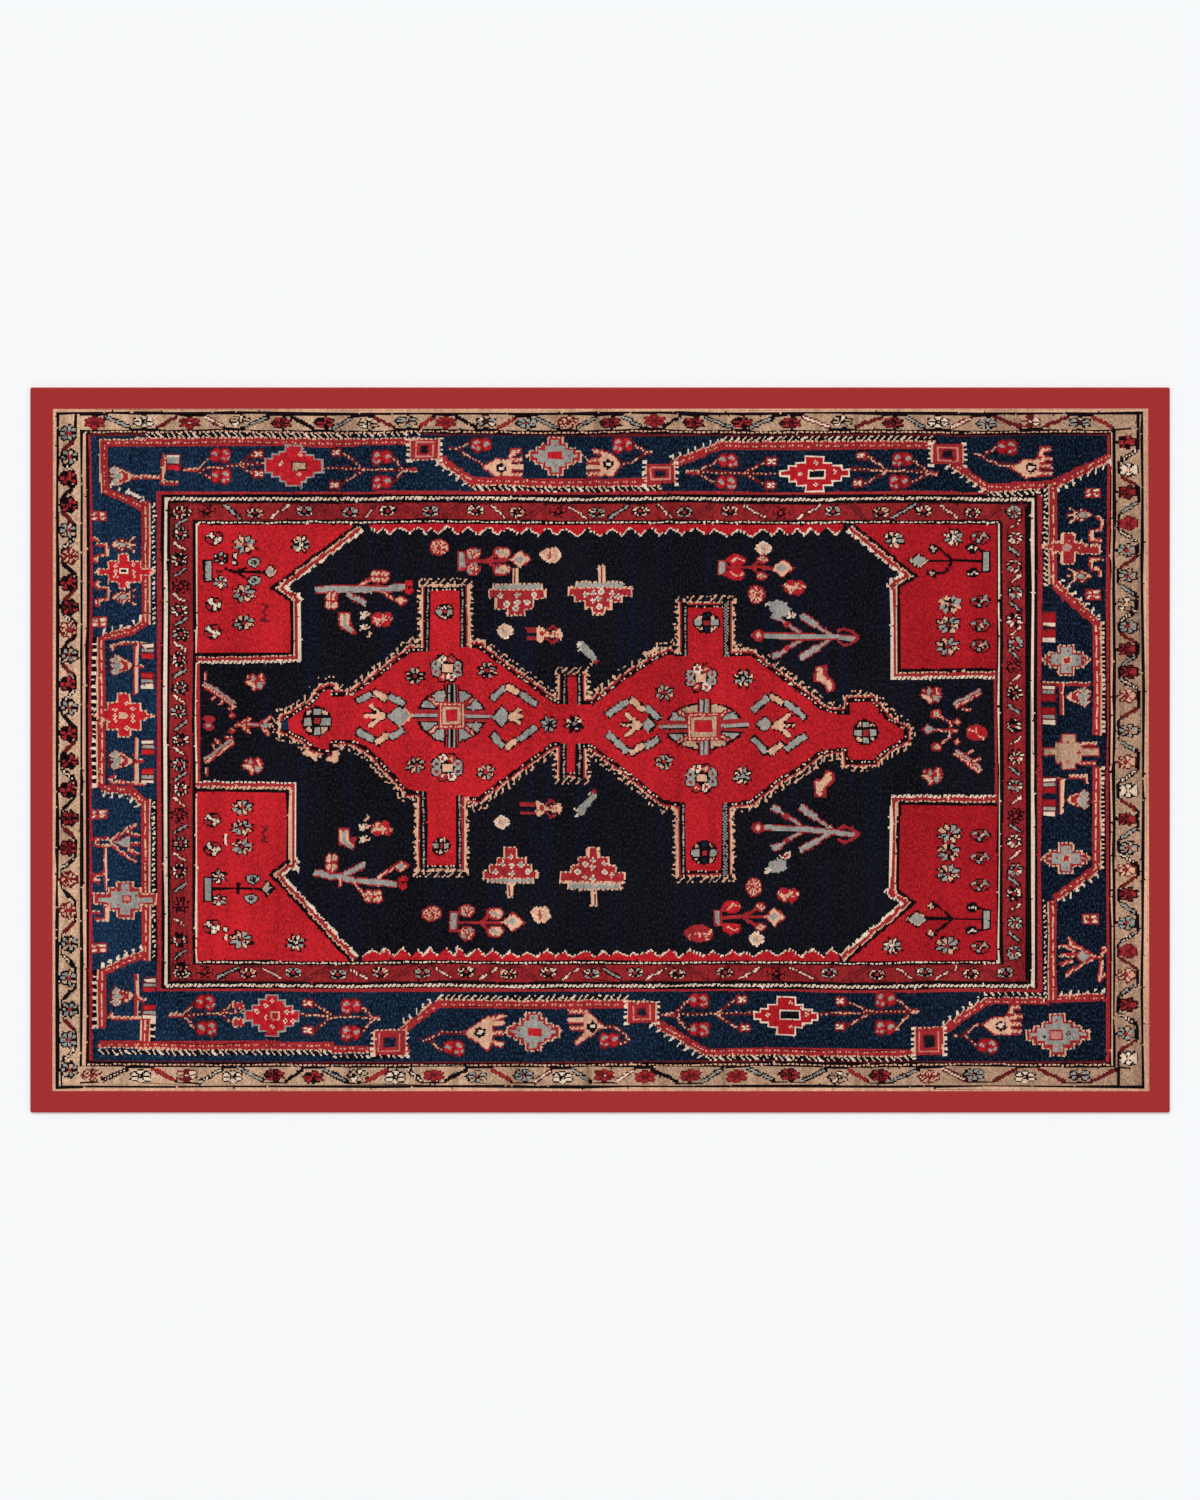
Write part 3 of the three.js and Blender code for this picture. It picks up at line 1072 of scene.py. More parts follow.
def layCentreRosette(x, y, petals, square, bars, sides, ends):
    # a wheel of petals under crossing bars and a nest of frames; sizes are half widths and half heights
    reachX, reachY = max(petals[0], bars[0]) + 1, max(petals[1], bars[1]) + 1
    area, u, v = knotsWithin(x - reachX, y - reachY, x + reachX, y + reachY)
    across, along = np.abs(u - x), np.abs(v - y)
    sideShare, endShare = across / petals[0], along / petals[1]
    wheel, slant = np.hypot(sideShare, endShare), np.abs(sideShare - endShare)
    inner = wheel < 1 - 1.2 / petals[1]
    lying = (along < 4.8) & (across + 0.9 * along < bars[0] + 1)
    standing = (across < 4.8) & (along < bars[1])
    for part, dye in (
        (wheel < 1, "black"), (inner & (sideShare >= endShare), sides),
        (inner & (sideShare < endShare), ends), (inner & (slant < 0.15), "black"),
        (inner & (slant < 0.1), "crimson"), (inner & (slant < 0.04), "peach"), (lying | standing, "black"),
        (lying & (along > 1.5) & (along < 3.9), "crimson"), (lying & (along < 0.9), "grey"),
        (standing & (across > 2.9) & (across < 3.9), "crimson"),
        (standing & (across > 0.9) & (across < 2.2), "grey"),
    ):
        cartoon[area][part] = dyeNumber[dye]
    for inset, dye in (
        (0, "crimson"), (1.2, "peach"), (2.1, "crimson"), (3, "sand"), (5.2, "crimson"), (5.8, "scarlet"),
    ):
        paintBlock(x, y, square[0] - inset, square[1] - inset, dye)


def layChain(*links):
    # a bent chain of three thick links with dark edges
    for start, end in links:
        length = math.hypot(end[0] - start[0], end[1] - start[1])
        stepX, stepY = (end[0] - start[0]) / length, (end[1] - start[1]) / length
        longer = [(start[0] - stepX, start[1] - stepY), (end[0] + stepX, end[1] + stepY)]
        layStrands(longer, [(-2.9, 2.9, "black")])
    for (start, end), dye in zip(links, ("grey", "peach", "grey")):
        layStrands([start, end], [(-1.9, 1.9, dye)])


def layForkedHand(x, y, reach):
    # three fingers spread from a palm; a minus reach points left
    tips = [
        (x + reach, y), (x + reach * 0.72, y + abs(reach) * 0.62), (x + reach * 0.72, y - abs(reach) * 0.62),
    ]
    for dye, width in (("black", 2.1), ("peach", 1.2)):
        for tip in tips:
            layStrands([(x, y), tip], [(-width, width, dye)])
        paintOval(x + reach * 0.12, y, abs(reach) * 0.22 + width, 1.6 + width, dye)


# the field: a row of teeth at top and bottom, scarlet corners and the joined medallions
teethEdge = [(-0.6, 0.6, "cream")]
upperTeeth = [
    (-153, 148), (-147, 144.5), (-144, 148), (-139.6, 143.3), (-134, 148), (-127.5, 144), (-121, 148),
    (-116.4, 144), (-113, 148), (-108.3, 143.3), (-102, 148.3), (-94.2, 142.8), (-88.6, 147.8), (-81, 143),
    (-74, 148), (-68, 143), (-61, 148), (-55, 143.6), (-48, 148), (-41.4, 143), (-35, 148), (-29, 143.3),
    (-23, 147.6), (-14.7, 142.4), (-8, 147.8), (0.3, 142.4), (8.6, 147.4), (14.3, 143.2), (20, 147.4),
    (27.5, 142.3), (34, 147.8), (39.6, 142.8), (47.6, 147.4), (54.6, 143.2), (63, 147.6), (70.5, 142.6),
    (75.6, 147), (84.5, 142), (92, 147), (100.4, 142), (108.4, 147), (113.5, 143), (119, 147.4), (125, 143.2),
    (130.6, 147.8), (135.7, 142.6), (140, 147.4), (146, 143), (151, 148), (156.7, 143.4), (162, 147),
]
lowerTeeth = [
    (-157.5, -136), (-151.4, -132.7), (-147.3, -135.5), (-142.2, -132.3), (-136.4, -137.5), (-131, -131.8),
    (-125.6, -137.5), (-121.5, -133.4), (-117.3, -137.2), (-113.2, -132.3), (-107.8, -137.5),
    (-102.1, -132.3), (-96.7, -137.6), (-95, -131.6), (-88.4, -137.4), (-81.2, -132.4), (-76.4, -137.4),
    (-72, -132.3), (-65.6, -138), (-60.5, -134), (-54.8, -138.2), (-49, -134.3), (-43, -137.4), (-35.4, -133),
    (-30.3, -137.4), (-24.5, -133), (-19.4, -137.7), (-9.9, -133.4), (-3.2, -137.7), (2.8, -133.8),
    (6.3, -137.4), (11.8, -132.8), (18.3, -137), (22.8, -134.6), (26, -136), (34.5, -132.8), (40.6, -137.4),
    (47, -132.3), (53.3, -137.4), (60, -132.9), (69, -137.2), (74.7, -133.7), (81, -137.2), (88.3, -133.4),
    (92.8, -136.9), (96, -134), (102, -137.6), (110.9, -133), (118.5, -136.9), (126.4, -132.4),
    (134.1, -137.4), (141.7, -132.4), (148.7, -137.2), (154.1, -131.6), (159.2, -136),
]
for teeth, base in ((upperTeeth, 150), (lowerTeeth, -140)):
    paintShape(teeth + [(teeth[-1][0], base), (teeth[0][0], base)], "scarlet")
    layStrands(teeth, teethEdge)
paintBox(-268, -27, -266, 64, "crimson")
paintBox(261.6, -36, 264, 53, "crimson")

cornerStrands = [(-0.3, 1.4, "black"), (1.4, 2.7, "peach"), (2.7, 4.8, "crimson"), (4.8, 6.5, "cream")]
corners = {
    "upperLeft": (
        [(-161.3, 150.4), (-218.1, 108.4), (-205.6, 98.9), (-205.6, 64.4), (-268, 64.4)], (-268, 150),
    ),
    "lowerLeft": ([(-268, -27), (-208, -27), (-208, -73.4), (-219.7, -82.6), (-165.4, -140.7)], (-268, -140)),
    "upperRight": ([(262, 53.6), (199.3, 53.6), (199.3, 109), (211.1, 116.3), (168.4, 150.4)], (264, 150)),
    "lowerRight": ([(163.5, -140.5), (210.5, -101.6), (198.2, -93), (199, -36.8), (262, -36.8)], (264, -140)),
}
for edge, (farX, farY) in corners.values():
    ends = [(farX, edge[-1][1]), (farX, farY), (edge[0][0], farY)]
    if abs(edge[0][0]) > abs(edge[-1][0]):
        ends = [(edge[-1][0], farY), (farX, farY), (farX, edge[0][1])]
    layStrands(edge, cornerStrands)
    paintShape(edge + ends, "scarlet")
    layStrands(edge, [(-0.6, 0.9, "black")])
paintBox(-202.4, -81.6, -200.4, -76.8, "cream")

medallions = [
    (-209, 13.6), (-209, 19.4), (-204.4, 22), (-193, 29), (-189.5, 31.2), (-185.4, 37.5), (-181, 39.8),
    (-179.3, 39.8), (-179.3, 35.3), (-165.1, 35.6), (-125.6, 64.9), (-112.6, 65.5), (-112.6, 105.6),
    (-93.2, 105.6), (-93.2, 68.2), (-81.2, 67.7), (-34.1, 33.1), (-28.4, 30.2), (-21.3, 30), (-21.3, 47.6),
    (-15.3, 47.6), (-15.3, 30), (-4.2, 30.2), (18.6, 48.6), (37.7, 61), (44.1, 63.9), (58.4, 63),
    (58.4, 94.7), (82.2, 94.7), (81.8, 62), (100.1, 62), (107.8, 56.6), (137.6, 34), (143.5, 29.5),
    (146.5, 26.5), (152.8, 24.6), (165.8, 24.3), (166.2, 32.1), (180.5, 32.1), (191.7, 19.4), (202.4, 13),
    (202.4, 8), (190.4, 1.6), (181.2, -6.3), (165.6, -6.3), (165.3, 2.3), (157, 1.6), (145.2, -0.9),
    (131.2, -11.7), (118.5, -19.3), (100.1, -33.9), (84, -35.5), (81.3, -36), (81.3, -79.6), (57.4, -79.6),
    (57.2, -35), (44, -33.3), (40.9, -31.7), (18.6, -13.6), (-4.8, 3.6), (-15.6, 4.2), (-15.6, -15.2),
    (-21.7, -15.2), (-21.7, 4.2), (-30.9, 4.8), (-81.2, -31), (-95.6, -30.3), (-96.2, -76.6), (-115.3, -76.6),
    (-115.2, -27), (-126.9, -26.3), (-143.5, -9.2), (-150.5, -1.5), (-155.6, 2.3), (-165.1, 7.3),
    (-179.3, 6.8), (-180, 0), (-189.8, 2.3), (-198.1, 9.3),
]
beadedEdge = [
    (-0.2, 2.5, "black"), (0.8, 1.7, "cream", 2.4, 1.1, 0), (2.5, 3.4, "crimson"), (3.4, 4.6, "peach"),
    (4.6, 6.4, "peach", 5, 1.2, -0.5), (6.4, 7.6, "peach", 5, 2.5, -0.5),
]
armBar = [(-0.2, 4.5, "black"), (1.6, 2.7, "grey", 1.7, 1.2, 0)]
wideBar = [(-0.2, 4.9, "black"), (0.9, 4.1, "grey", 2, 1.1, 0.8)]
armRail = [(4.5, 5.6, "crimson"), (5.6, 6.8, "peach"), (6.8, 9.2, "peach", 3.6, 1.3, 0)]
armEnd = [(4.4, 8.4, "peach", 4.9, 1.4, -0.8), (7.2, 8.4, "peach", 4.9, 2.6, -0.8)]
layStrands(medallions, beadedEdge, closed=True)
for left, right, base, end, rightBar in (
    (-112.6, -93.2, 65.5, 108.8, armBar), (-21.3, -15.3, 30, 50, armBar), (58.4, 82, 62.6, 98, wideBar),
    (-115.2, -96, -28, -79.8, armBar), (-21.7, -15.6, 4.2, -18, armBar), (57.3, 81.3, -35.5, -83, wideBar),
):
    step = 3.4 if end > base else -3.4
    low, high = [(left, base), (left, end)], [(right, end), (right, base)]
    tip = [(left - 8, end - step), (right + 8, end - step)]
    if end < base:
        low, high, tip = low[::-1], high[::-1], tip[::-1]
    layStrands(tip, [(0, 12, "navy")])
    layStrands(tip, armEnd)
    layStrands(tip, [(3, 4.3, "peach")])
    shorter = [(left - 4, end - step), (right + 4, end - step)]
    layStrands(
        shorter if end > base else shorter[::-1],
        [(0, 2.2, "black"), (0.7, 1.6, "cream", 2.4, 1.1, 0), (2.2, 3, "crimson")],
    )
    for line, bar in ((low, armBar), (high, rightBar)):
        layStrands([(x, y + step if y == base else y) for x, y in line], armRail)
        layStrands(line, bar)
paintShape(medallions, "scarlet")
paintBox(-211.6, 13, -206.6, 20, "blue")
print("medallions woven")

layCentreRosette(-99.2, 22.9, (22.8, 18.4), (9, 9), (26, 20.8), "grey", "grey")
layCentreRosette(69.4, 15.7, (27, 16), (11.3, 9.4), (30, 18.6), "grey", "sand")
layDiamond(-134.2, 22.3, 9.4, 7.6, ["black", "grey"])
layStrands([(-133, 29), (-126.2, 22.3), (-133, 15.6)], [(-0.7, 0.7, "peach")])
layDiamond(-65.9, 22.6, 7.4, 8.4, ["black", "grey"])
layDiamond(31.7, 17.5, 6, 5.8, ["black", "grey"])
layDiamond(109.7, 16.6, 7, 6, ["black", "grey"])
for hand in ((-145, 22.6, -11.5), (-59, 22.4, 7.6), (25.4, 17, -12), (117.6, 16, 12)):
    layForkedHand(*hand)
for links in (
    (((-161.4, 32.6), (-152.4, 37)), ((-150, 38.6), (-142.6, 33.6)), ((-140.4, 35.6), (-131, 30.4))),
    (((-161, 12.6), (-151.4, 6.6)), ((-149, 4.8), (-142, 9.4)), ((-139.4, 8.4), (-131.6, 13))),
    (((-72, 34.6), (-64.2, 41.4)), ((-62, 42.4), (-55, 38.4)), ((-52.8, 37.6), (-42.4, 30.4))),
    (((-71.6, 10.6), (-64.6, 2.4)), ((-62, 1.6), (-55.6, 6.4)), ((-53.4, 6.4), (-43.2, 14.6))),
    (((5.4, 24), (18, 33)), ((20.6, 33.8), (28, 27.6)), ((30.4, 29), (38.6, 21.6))),
    (((5.4, 10), (18, -0.6)), ((20.4, -1.6), (28, 3.6)), ((30.2, 2.8), (38, 7.8))),
    (((102.6, 26), (111.6, 34)), ((113.8, 35.6), (121.6, 30.6)), ((123.8, 31), (136.4, 21.4))),
    (((102.6, 6.6), (111, -2)), ((113.4, -2.6), (121.6, 3.4)), ((124, 0.4), (136.4, 9.2))),
):
    layChain(*links)
for x, y, halfWidth, halfHeight, ends in (
    (-188.2, 18.8, 10.4, 9.8, "grey"), (176.8, 12.2, 8.8, 8.4, "grey"), (-103.2, 91.8, 6.5, 5.6, "cream"),
    (71, 84.6, 9, 7.2, "blue"), (-105.8, -63.8, 6.4, 6, "cream"), (69.4, -68.4, 9.3, 8.2, "blue"),
):
    layCrossFlower(x, y, halfWidth, halfHeight, ends)
for x, y, halfWidth, halfHeight in (
    (-101.8, 54.2, 11.4, 9.2), (-101.8, -11.4, 11.4, 9.4), (67.6, 48, 11.6, 9.4), (67.6, -18.7, 11.8, 10),
):
    layRingedFlower(x, y, halfWidth, halfHeight)
for x, y in ((-123.1, 49), (-75.1, 53.1), (-122.5, -9.8), (-75.8, -14.6), (42.5, 38.8), (42.2, -7.3)):
    layStarFlower(x, y, 7.4, 6.2, "gpgpgpgp", "r")
for x, y in ((96, 47), (95.3, -17.7)):
    layStarFlower(x, y, 7.6, 7, "wgpwgwpg", "g")
layStarFlower(-33.8, 16.9, 6.8, 6.2, "gggggggg", "n")
layStarFlower(-16.9, 17.2, 7.2, 6.4, "wpkwpkwk", "g")

# flowers of the scarlet corners
for size, petals, heart, places in (
    (
        (9, 7), "ggppggpp", "r",
        [
            (-236.6, 137), (-236.6, 104.6), (-238.8, -126.4), (233, 97), (232, 83.3), (231.4, 68.6),
            (232.3, -55.2), (232, -67.6), (231.7, -81.6), (231.3, -130.2),
        ],
    ),
    ((8.4, 6), "ggppggpp", "r", [(-236.9, 85.2), (-238.2, -38.2), (-238.2, -51.6), (-238.2, -64.5)]),
    (
        (7.6, 6.6), "gwpwgwpg", "w",
        [(-198.7, 137), (-202.5, -128), (195.8, 140.2), (194.5, -130.2), (235.2, 141.4)],
    ),
    ((6, 5), "wgwgwg", "r", [(-252, 128), (-252.4, 112.2), (-253.8, -84.2), (-253.5, -99.7)]),
):
    for x, y in places:
        layStarFlower(x, y, *size, petals, heart)
for name, places in (
    ("diagonalRound", [
        (-257.3, 140.8), (-257.3, 97), (-257.6, 78.5), (-257.6, -47), (-257.6, -66), (-257.9, -118.4),
    ]),
    ("ovalDark", [
        (253, 141.7), (253, 98), (252.7, 82.6), (252.7, 68.6), (253, -56.2), (252.7, -71.4), (252.7, -89.9),
        (253, -131.8),
    ]),
    ("greyOval", [(-229.9, 124.6), (-229.6, 112.8), (-231.5, -86.4), (-231.8, -99.4)]),
):
    for x, y in places:
        stampChart(name, x, y)
for x, y, halfWidth, halfHeight in (
    (-219.1, 118.9, 6, 5), (-221.3, -92.1, 5.4, 6), (212.4, 126.2, 8.6, 5.6), (211.1, -112.4, 8.6, 6.2),
    (222, 134, 4.4, 3.8), (221.2, 118, 4.4, 3.6), (220.8, -103.5, 4, 4), (220.2, -122.2, 4, 4),
):
    layDiamond(x, y, halfWidth, halfHeight, ["black", "peach", "grey"])
darkStem = [(-0.9, 0.9, "black")]
for points in (
    [(-249.5, 121.4), (-243, 119), (-225, 118.6)], [(-242, 119), (-235, 122)], [(-242, 119), (-234.6, 114.4)],
    [(-259, -92.1), (-226.6, -92.3)], [(-241, -89), (-241, -95.4)],
    [(254.6, 126.4), (235.4, 126.2), (219, 125.6)], [(235.4, 126.2), (226.4, 133.6)],
    [(235.4, 126.2), (229, 117.6), (225, 117.8)], [(254.6, -112.6), (234.6, -112.4), (218.6, -111.9)],
    [(234.6, -112.4), (223.6, -102.4)], [(234.6, -112.4), (224, -121)], [(256, 132), (251, 134.6)],
    [(256, 119), (251, 118)], [(256, -106.6), (252, -104.4)], [(256, -119.4), (251, -120.4)],
):
    layStrands(points, darkStem)
for left, bottom, right, top in (
    (-263, 112.2, -258.4, 126.2), (-263.4, -100.6, -258.6, -84.8), (254.6, 118.6, 259.6, 132.8),
    (254.6, -119.8, 259.4, -106.2),
):
    paintBox(left - 0.6, bottom - 0.6, right + 0.6, top + 0.6, "black")
    paintBox(left + 0.6, bottom + 0.6, right - 0.6, top - 0.6, "grey")
for x, y in ((247.6, 134.4), (248.2, 117.9), (247.9, -104.5), (247.6, -120.3)):
    paintOval(x, y, 4.6, 3.2, "black")
    layStrands([(x - 2.6, y - 0.8), (x, y + 0.6), (x + 2.8, y - 0.6)], [(-0.7, 0.7, "cream")])
for x, y in ((-243, 129.6), (-242.6, 124.9), (-249, -58), (-249, -62), (-249, -119.6), (-249, -125)):
    paintOval(x, y, 1.9, 2.3, "black")
    paintOval(x, y, 1.1, 1.7, "cream")
for x, y in ((-223.2, 91.5), (-223.9, -55.9)):
    layStrands(
        [
            (x - 1, y + 5.6), (x + 2, y + 4), (x - 1, y + 1), (x + 1, y - 2), (x - 1.6, y - 4.4),
            (x + 2.4, y - 5),
        ],
        [(-0.8, 0.8, "oxblood")],
    )
paintOval(-252.8, 119.2, 2.2, 1.2, "oxblood")
print("corners woven")

# figures on the navy ground, and the strands that their stems share
bough = [(-2.5, 2.5, "crimson"), (-1.7, 1.7, "grey")]
branch = [(-2.2, 2.2, "crimson"), (-1.4, 1.4, "grey")]
branchlet = [(-1.4, 1.4, "crimson"), (-0.7, 0.7, "peach")]
feather = [(-1.1, 1.1, "crimson"), (-0.5, 0.5, "peach")]
redStem = [(-1.1, 1.1, "crimson")]


def layTree(levels, bar, stem, flowers):
    # a stepped tree in a nest of boxes (left, bottom, right, top) with small flowers
    for left, bottom, right, top in levels:
        paintBox(left, bottom, right, top, "peach")
    for left, bottom, right, top in levels:
        paintBox(left + 1.2, bottom + 1.2, right - 1.2, top - 1.2, "crimson")
    for (lowLeft, lowBottom, lowRight, lowTop), (left, bottom, right, top) in zip(levels[:-1], levels[1:]):
        joinLeft, joinRight = max(lowLeft, left) + 1.2, min(lowRight, right) - 1.2
        paintBox(joinLeft, min(lowTop, top) - 2.4, joinRight, max(lowBottom, bottom) + 2.4, "crimson")
    left, bottom, right, top = stem
    paintBox(left, bottom, right, top, "peach")
    paintBox((left + right) / 2 - 0.6, bottom + 1, (left + right) / 2 + 0.6, top - 1, "oxblood")
    left, bottom, right, top = bar
    paintBox(left, bottom, right, top, "peach")
    paintBox(left + 1, bottom + 0.8, right - 1, top - 0.8, "grey")
    for x, y in flowers:
        stampChart("dot", x, y)


layTree(
    [(-74, 99.6, -36.4, 107), (-69.6, 93.2, -43.6, 101), (-61.8, 88.8, -50, 95)],
    (-70.6, 106.4, -38.4, 110.8), (-58.4, 110, -54, 120.6),
    [(-65.9, 102.7), (-55.1, 102.7), (-43.5, 103), (-55.4, 98.2), (-48.6, 98.4), (-62, 97.4), (-55.7, 93.6)],
)
layTree(
    [(-22.4, 102.2, 21.2, 108.6), (-18, 97.6, 14, 104), (-11, 93.4, 7.6, 99.6), (-6.4, 89.4, 3.4, 95)],
    (-16.8, 107.4, 16.4, 112.2), (-1.6, 111.4, 2.8, 122.8),
    [
        (-10.2, 103.3), (-4.8, 103.6), (-0.3, 104.6), (6.7, 104.3), (11, 102), (-5.4, 98.9), (-1, 99.8),
        (6, 99.5), (-1.3, 94.6),
    ],
)
layTree(
    [
        (-78, -86.4, -41.4, -79.8), (-73.9, -81.6, -44.9, -75.6), (-69.2, -77.6, -48.7, -70.6),
        (-64.4, -72.6, -54.6, -63.5),
    ],
    (-74.8, -88.9, -44.2, -84.8), (-62.4, -99.4, -58.2, -88.9),
    [
        (-59.5, -70.8), (-65.3, -75.9), (-59.2, -76.8), (-52.9, -75.6), (-69.7, -81.3), (-59.2, -81.8),
        (-47.8, -80.6),
    ],
)
layTree(
    [
        (-26.8, -88.6, 16.8, -81), (-19.8, -83, 10.8, -75.6), (-15, -77.6, 6.3, -70.6),
        (-8.6, -72.6, -0.3, -64.5),
    ],
    (-21.6, -92.6, 13.7, -87.8), (-5.8, -103.8, -1.6, -92.4),
    [
        (-4.8, -73), (-10.5, -75.9), (2.8, -75.6), (-4.8, -78.4), (-15, -81.3), (3.2, -81), (-9.9, -83.8),
        (-4.8, -84.9), (8, -82.6),
    ],
)

for name, flip, places in (
    ("redDaisy", "", [(-107, 134.8), (-111.6, -109.5)]),
    ("creamRound", "", [(-33.5, 129), (-39.8, -109.2)]),
    ("creamStar", "", [(-63.7, 79.4), (-65.9, -48.3), (108.4, 133.6), (103.6, -125.7)]),
    ("crimsonFlower", "", [(-145.4, 86.5), (129, 107.8), (125.8, -97.2)]),
    ("crimsonFlower", "v", [(-145.4, -52.1)]),
    ("redFour", "", [(-229.9, 45.2), (-231.9, -10.8), (220.3, 36.2), (220.3, -17.6)]),
    ("redDaisy", "t", [(104.9, 103.9), (102.3, -92)]),
    ("comb", "", [(-156.5, 89.2), (-156.5, 81.8), (-156.5, -51.1), (-156.5, -59.4)]),
):
    for x, y in places:
        stampChart(name, x, y, flip)
for x, y in ((-153.6, 77), (-154.9, -44.8)):
    layStrands([(x - 0.8, y - 1.6), (x + 0.8, y + 1.6)], [(-1, 1, "peach")])

# lying plants: a vase, blossoms at its corners, a stem with a fork, and a diamond at the tip
for vaseX, y, blossomX, spread, forkX, budX, budSpread, tipX, tipY, leaf in (
    (-92, 125.6, -84, 5.4, -75.5, -65.2, 5.6, -52.9, 127, "fieldBlossom"),
    (-97, -114.8, -88.6, 7.6, -80, -70, 6, -58.3, -114.6, "fieldBlossom"),
    (81, 121.9, 90.6, 4.9, 100.7, 108.4, 5.6, 122, 121.2, "fieldBud"),
    (77.8, -111.2, 87.4, 7.4, 95.2, 106.8, 6.5, 116.6, -111.4, "fieldBud"),
):
    half = 6.8 if leaf == "fieldBlossom" else 5.4
    paintBlock(vaseX, y, 3, half, "crimson")
    paintBlock(vaseX, y, 1.6, half - 1.2, "grey")
    layStrands([(vaseX + 3, y), (forkX, y), (tipX - 4, tipY)], redStem)
    for side in (-1, 1):
        budY, blossomY = y + side * budSpread, y + side * spread
        layStrands([(forkX, y), (budX - 2, budY)], redStem)
        layStrands([(vaseX + 2, y + side * (half - 1)), (blossomX, blossomY)], redStem)
        if leaf == "fieldBlossom":
            stampChart(leaf, blossomX, blossomY)
            paintOval(budX, budY, 6, 4.2, "crimson")
            paintOval(budX + 0.6, budY, 4.8, 3.1, "peach")
            layStrands([(budX - 3, budY + 1), (budX + 3, budY - 1)], [(-0.6, 0.6, "grey")])
        else:
            paintOval(blossomX, blossomY, 6.2, 4, "scarlet")
            vein = [
                (blossomX - 3, blossomY - side), (blossomX + 1, blossomY + side), (blossomX + 4.6, blossomY),
            ]
            layStrands(vein, [(-0.7, 0.7, "peach")])
            stampChart(leaf, budX, budY)
    layDiamond(tipX, tipY, 8, 6.4, ["crimson", "peach", "grey"])
    layDiamond(tipX - 1, tipY, 6.4, 5.2, ["peach", "peach", "grey"])

# flowering boughs at the left
layStrands([(-189, 106.4), (-176, 107.2), (-156, 107), (-130.4, 108.4)], bough)
layStrands([(-160, 109.6), (-152.6, 113.6)], branchlet)
stampChart("crossedFlower", -146.3, 115.7)
layStrands([(-145.4, 106), (-136.6, 99.6)], branchlet)
layDiamond(-132.6, 99.5, 4.8, 4, ["crimson", "peach"])
layStrands([(-168.4, 104), (-156, 97.8)], branch)
stampChart("crossedFlower", -178.4, 99.4, "t")
layStrands([(-174, 105), (-176, 101)], redStem)
for x, y in ((-127.4, 108.4), (-131, -88.6)):
    paintOval(x, y + 2.2, 3, 2.9, "scarlet")
    paintOval(x, y - 2.2, 3, 2.9, "scarlet")
    paintOval(x + 0.4, y, 1.2, 1, "black")
layStrands([(-190, -82), (-181, -83.8), (-171.5, -85.1), (-161.9, -87.4), (-135.2, -89.4)], bough)
stampChart("crossedFlower", -178.6, -75, "t")
layStrands([(-180, -80), (-179, -83)], redStem)
layStrands([(-169.6, -83.6), (-157, -76.4)], [(-2.1, 2.1, "crimson"), (-1.4, 1.4, "grey")])
layStrands([(-147.4, -85.6), (-136.6, -77.6)], branchlet)
layDiamond(-132.6, -77.4, 5.4, 4.8, ["crimson", "peach", "grey"])
layStrands([(-162.6, -89), (-156.6, -97)], branchlet)
stampChart("crossedFlower", -150.1, -98)
layStrands([(-172.6, -87), (-172.4, -91)], branchlet)
for flip, y in ((1, 86), (-1, -58)):
    paintShape(
        [
            (-174.4, y + 6), (-166, y + 6.4), (-165.6, y - 1), (-161.4, y - 5 * flip - 4), (-164, y - 9.4),
            (-173.6, y - 5),
        ],
        "crimson",
    )
    paintShape(
        [
            (-173.2, y + 4.8), (-167.4, y + 5.2), (-167, y - 2), (-163.2, y - 6), (-164.4, y - 8),
            (-172.4, y - 4),
        ],
        "peach",
    )
    layStrands([(-170.4, y + 4), (-169.6, y - 4), (-165, y - 7)], [(-1.1, 1.1, "grey")])

# palms at the right
for y in (75.4, -52.4):
    drop = 0 if y > 0 else -3.6
    tipY = y + drop
    branches = [
        ((137, y), (119.6, y + 12), (115.4, y + 14)), ((137, y), (119.6, y - 11.6), (115.4, y - 13.4)),
        ((156, y + drop / 2), (144, y + 7.6), (134, y + 14.4)),
        ((156, y + drop / 2), (145, y - 7.2), (133.4, y - 14.4)),
    ]
    for root, middle, end in branches:
        layStrands([root, middle], [(-1.5, 1.5, "crimson"), (-0.8, 0.8, "grey")])
        layStrands([middle, end], bough)
    for side in (8.4, -8):
        layDiamond(124.6, y + side, 2.6, 2.6, ["crimson"])
    layStrands([(104, y + 0.6), (137, y), (170, tipY - 0.6)], [(-2.2, 2.2, "crimson"), (-1.5, 1.5, "grey")])
    paintOval(105.6, y + 0.4, 4.4, 3.8, "crimson")
    layDiamond(105.6, y + 0.4, 2.4, 1.9, ["peach"])
    for side in (1, -1):
        layStrands(
            [(158.6, tipY + 3.6 * side), (162, tipY + 5.6 * side), (167.6, tipY + 3.4 * side), (171.4, tipY)],
            [(-1, 1, "crimson")],
        )

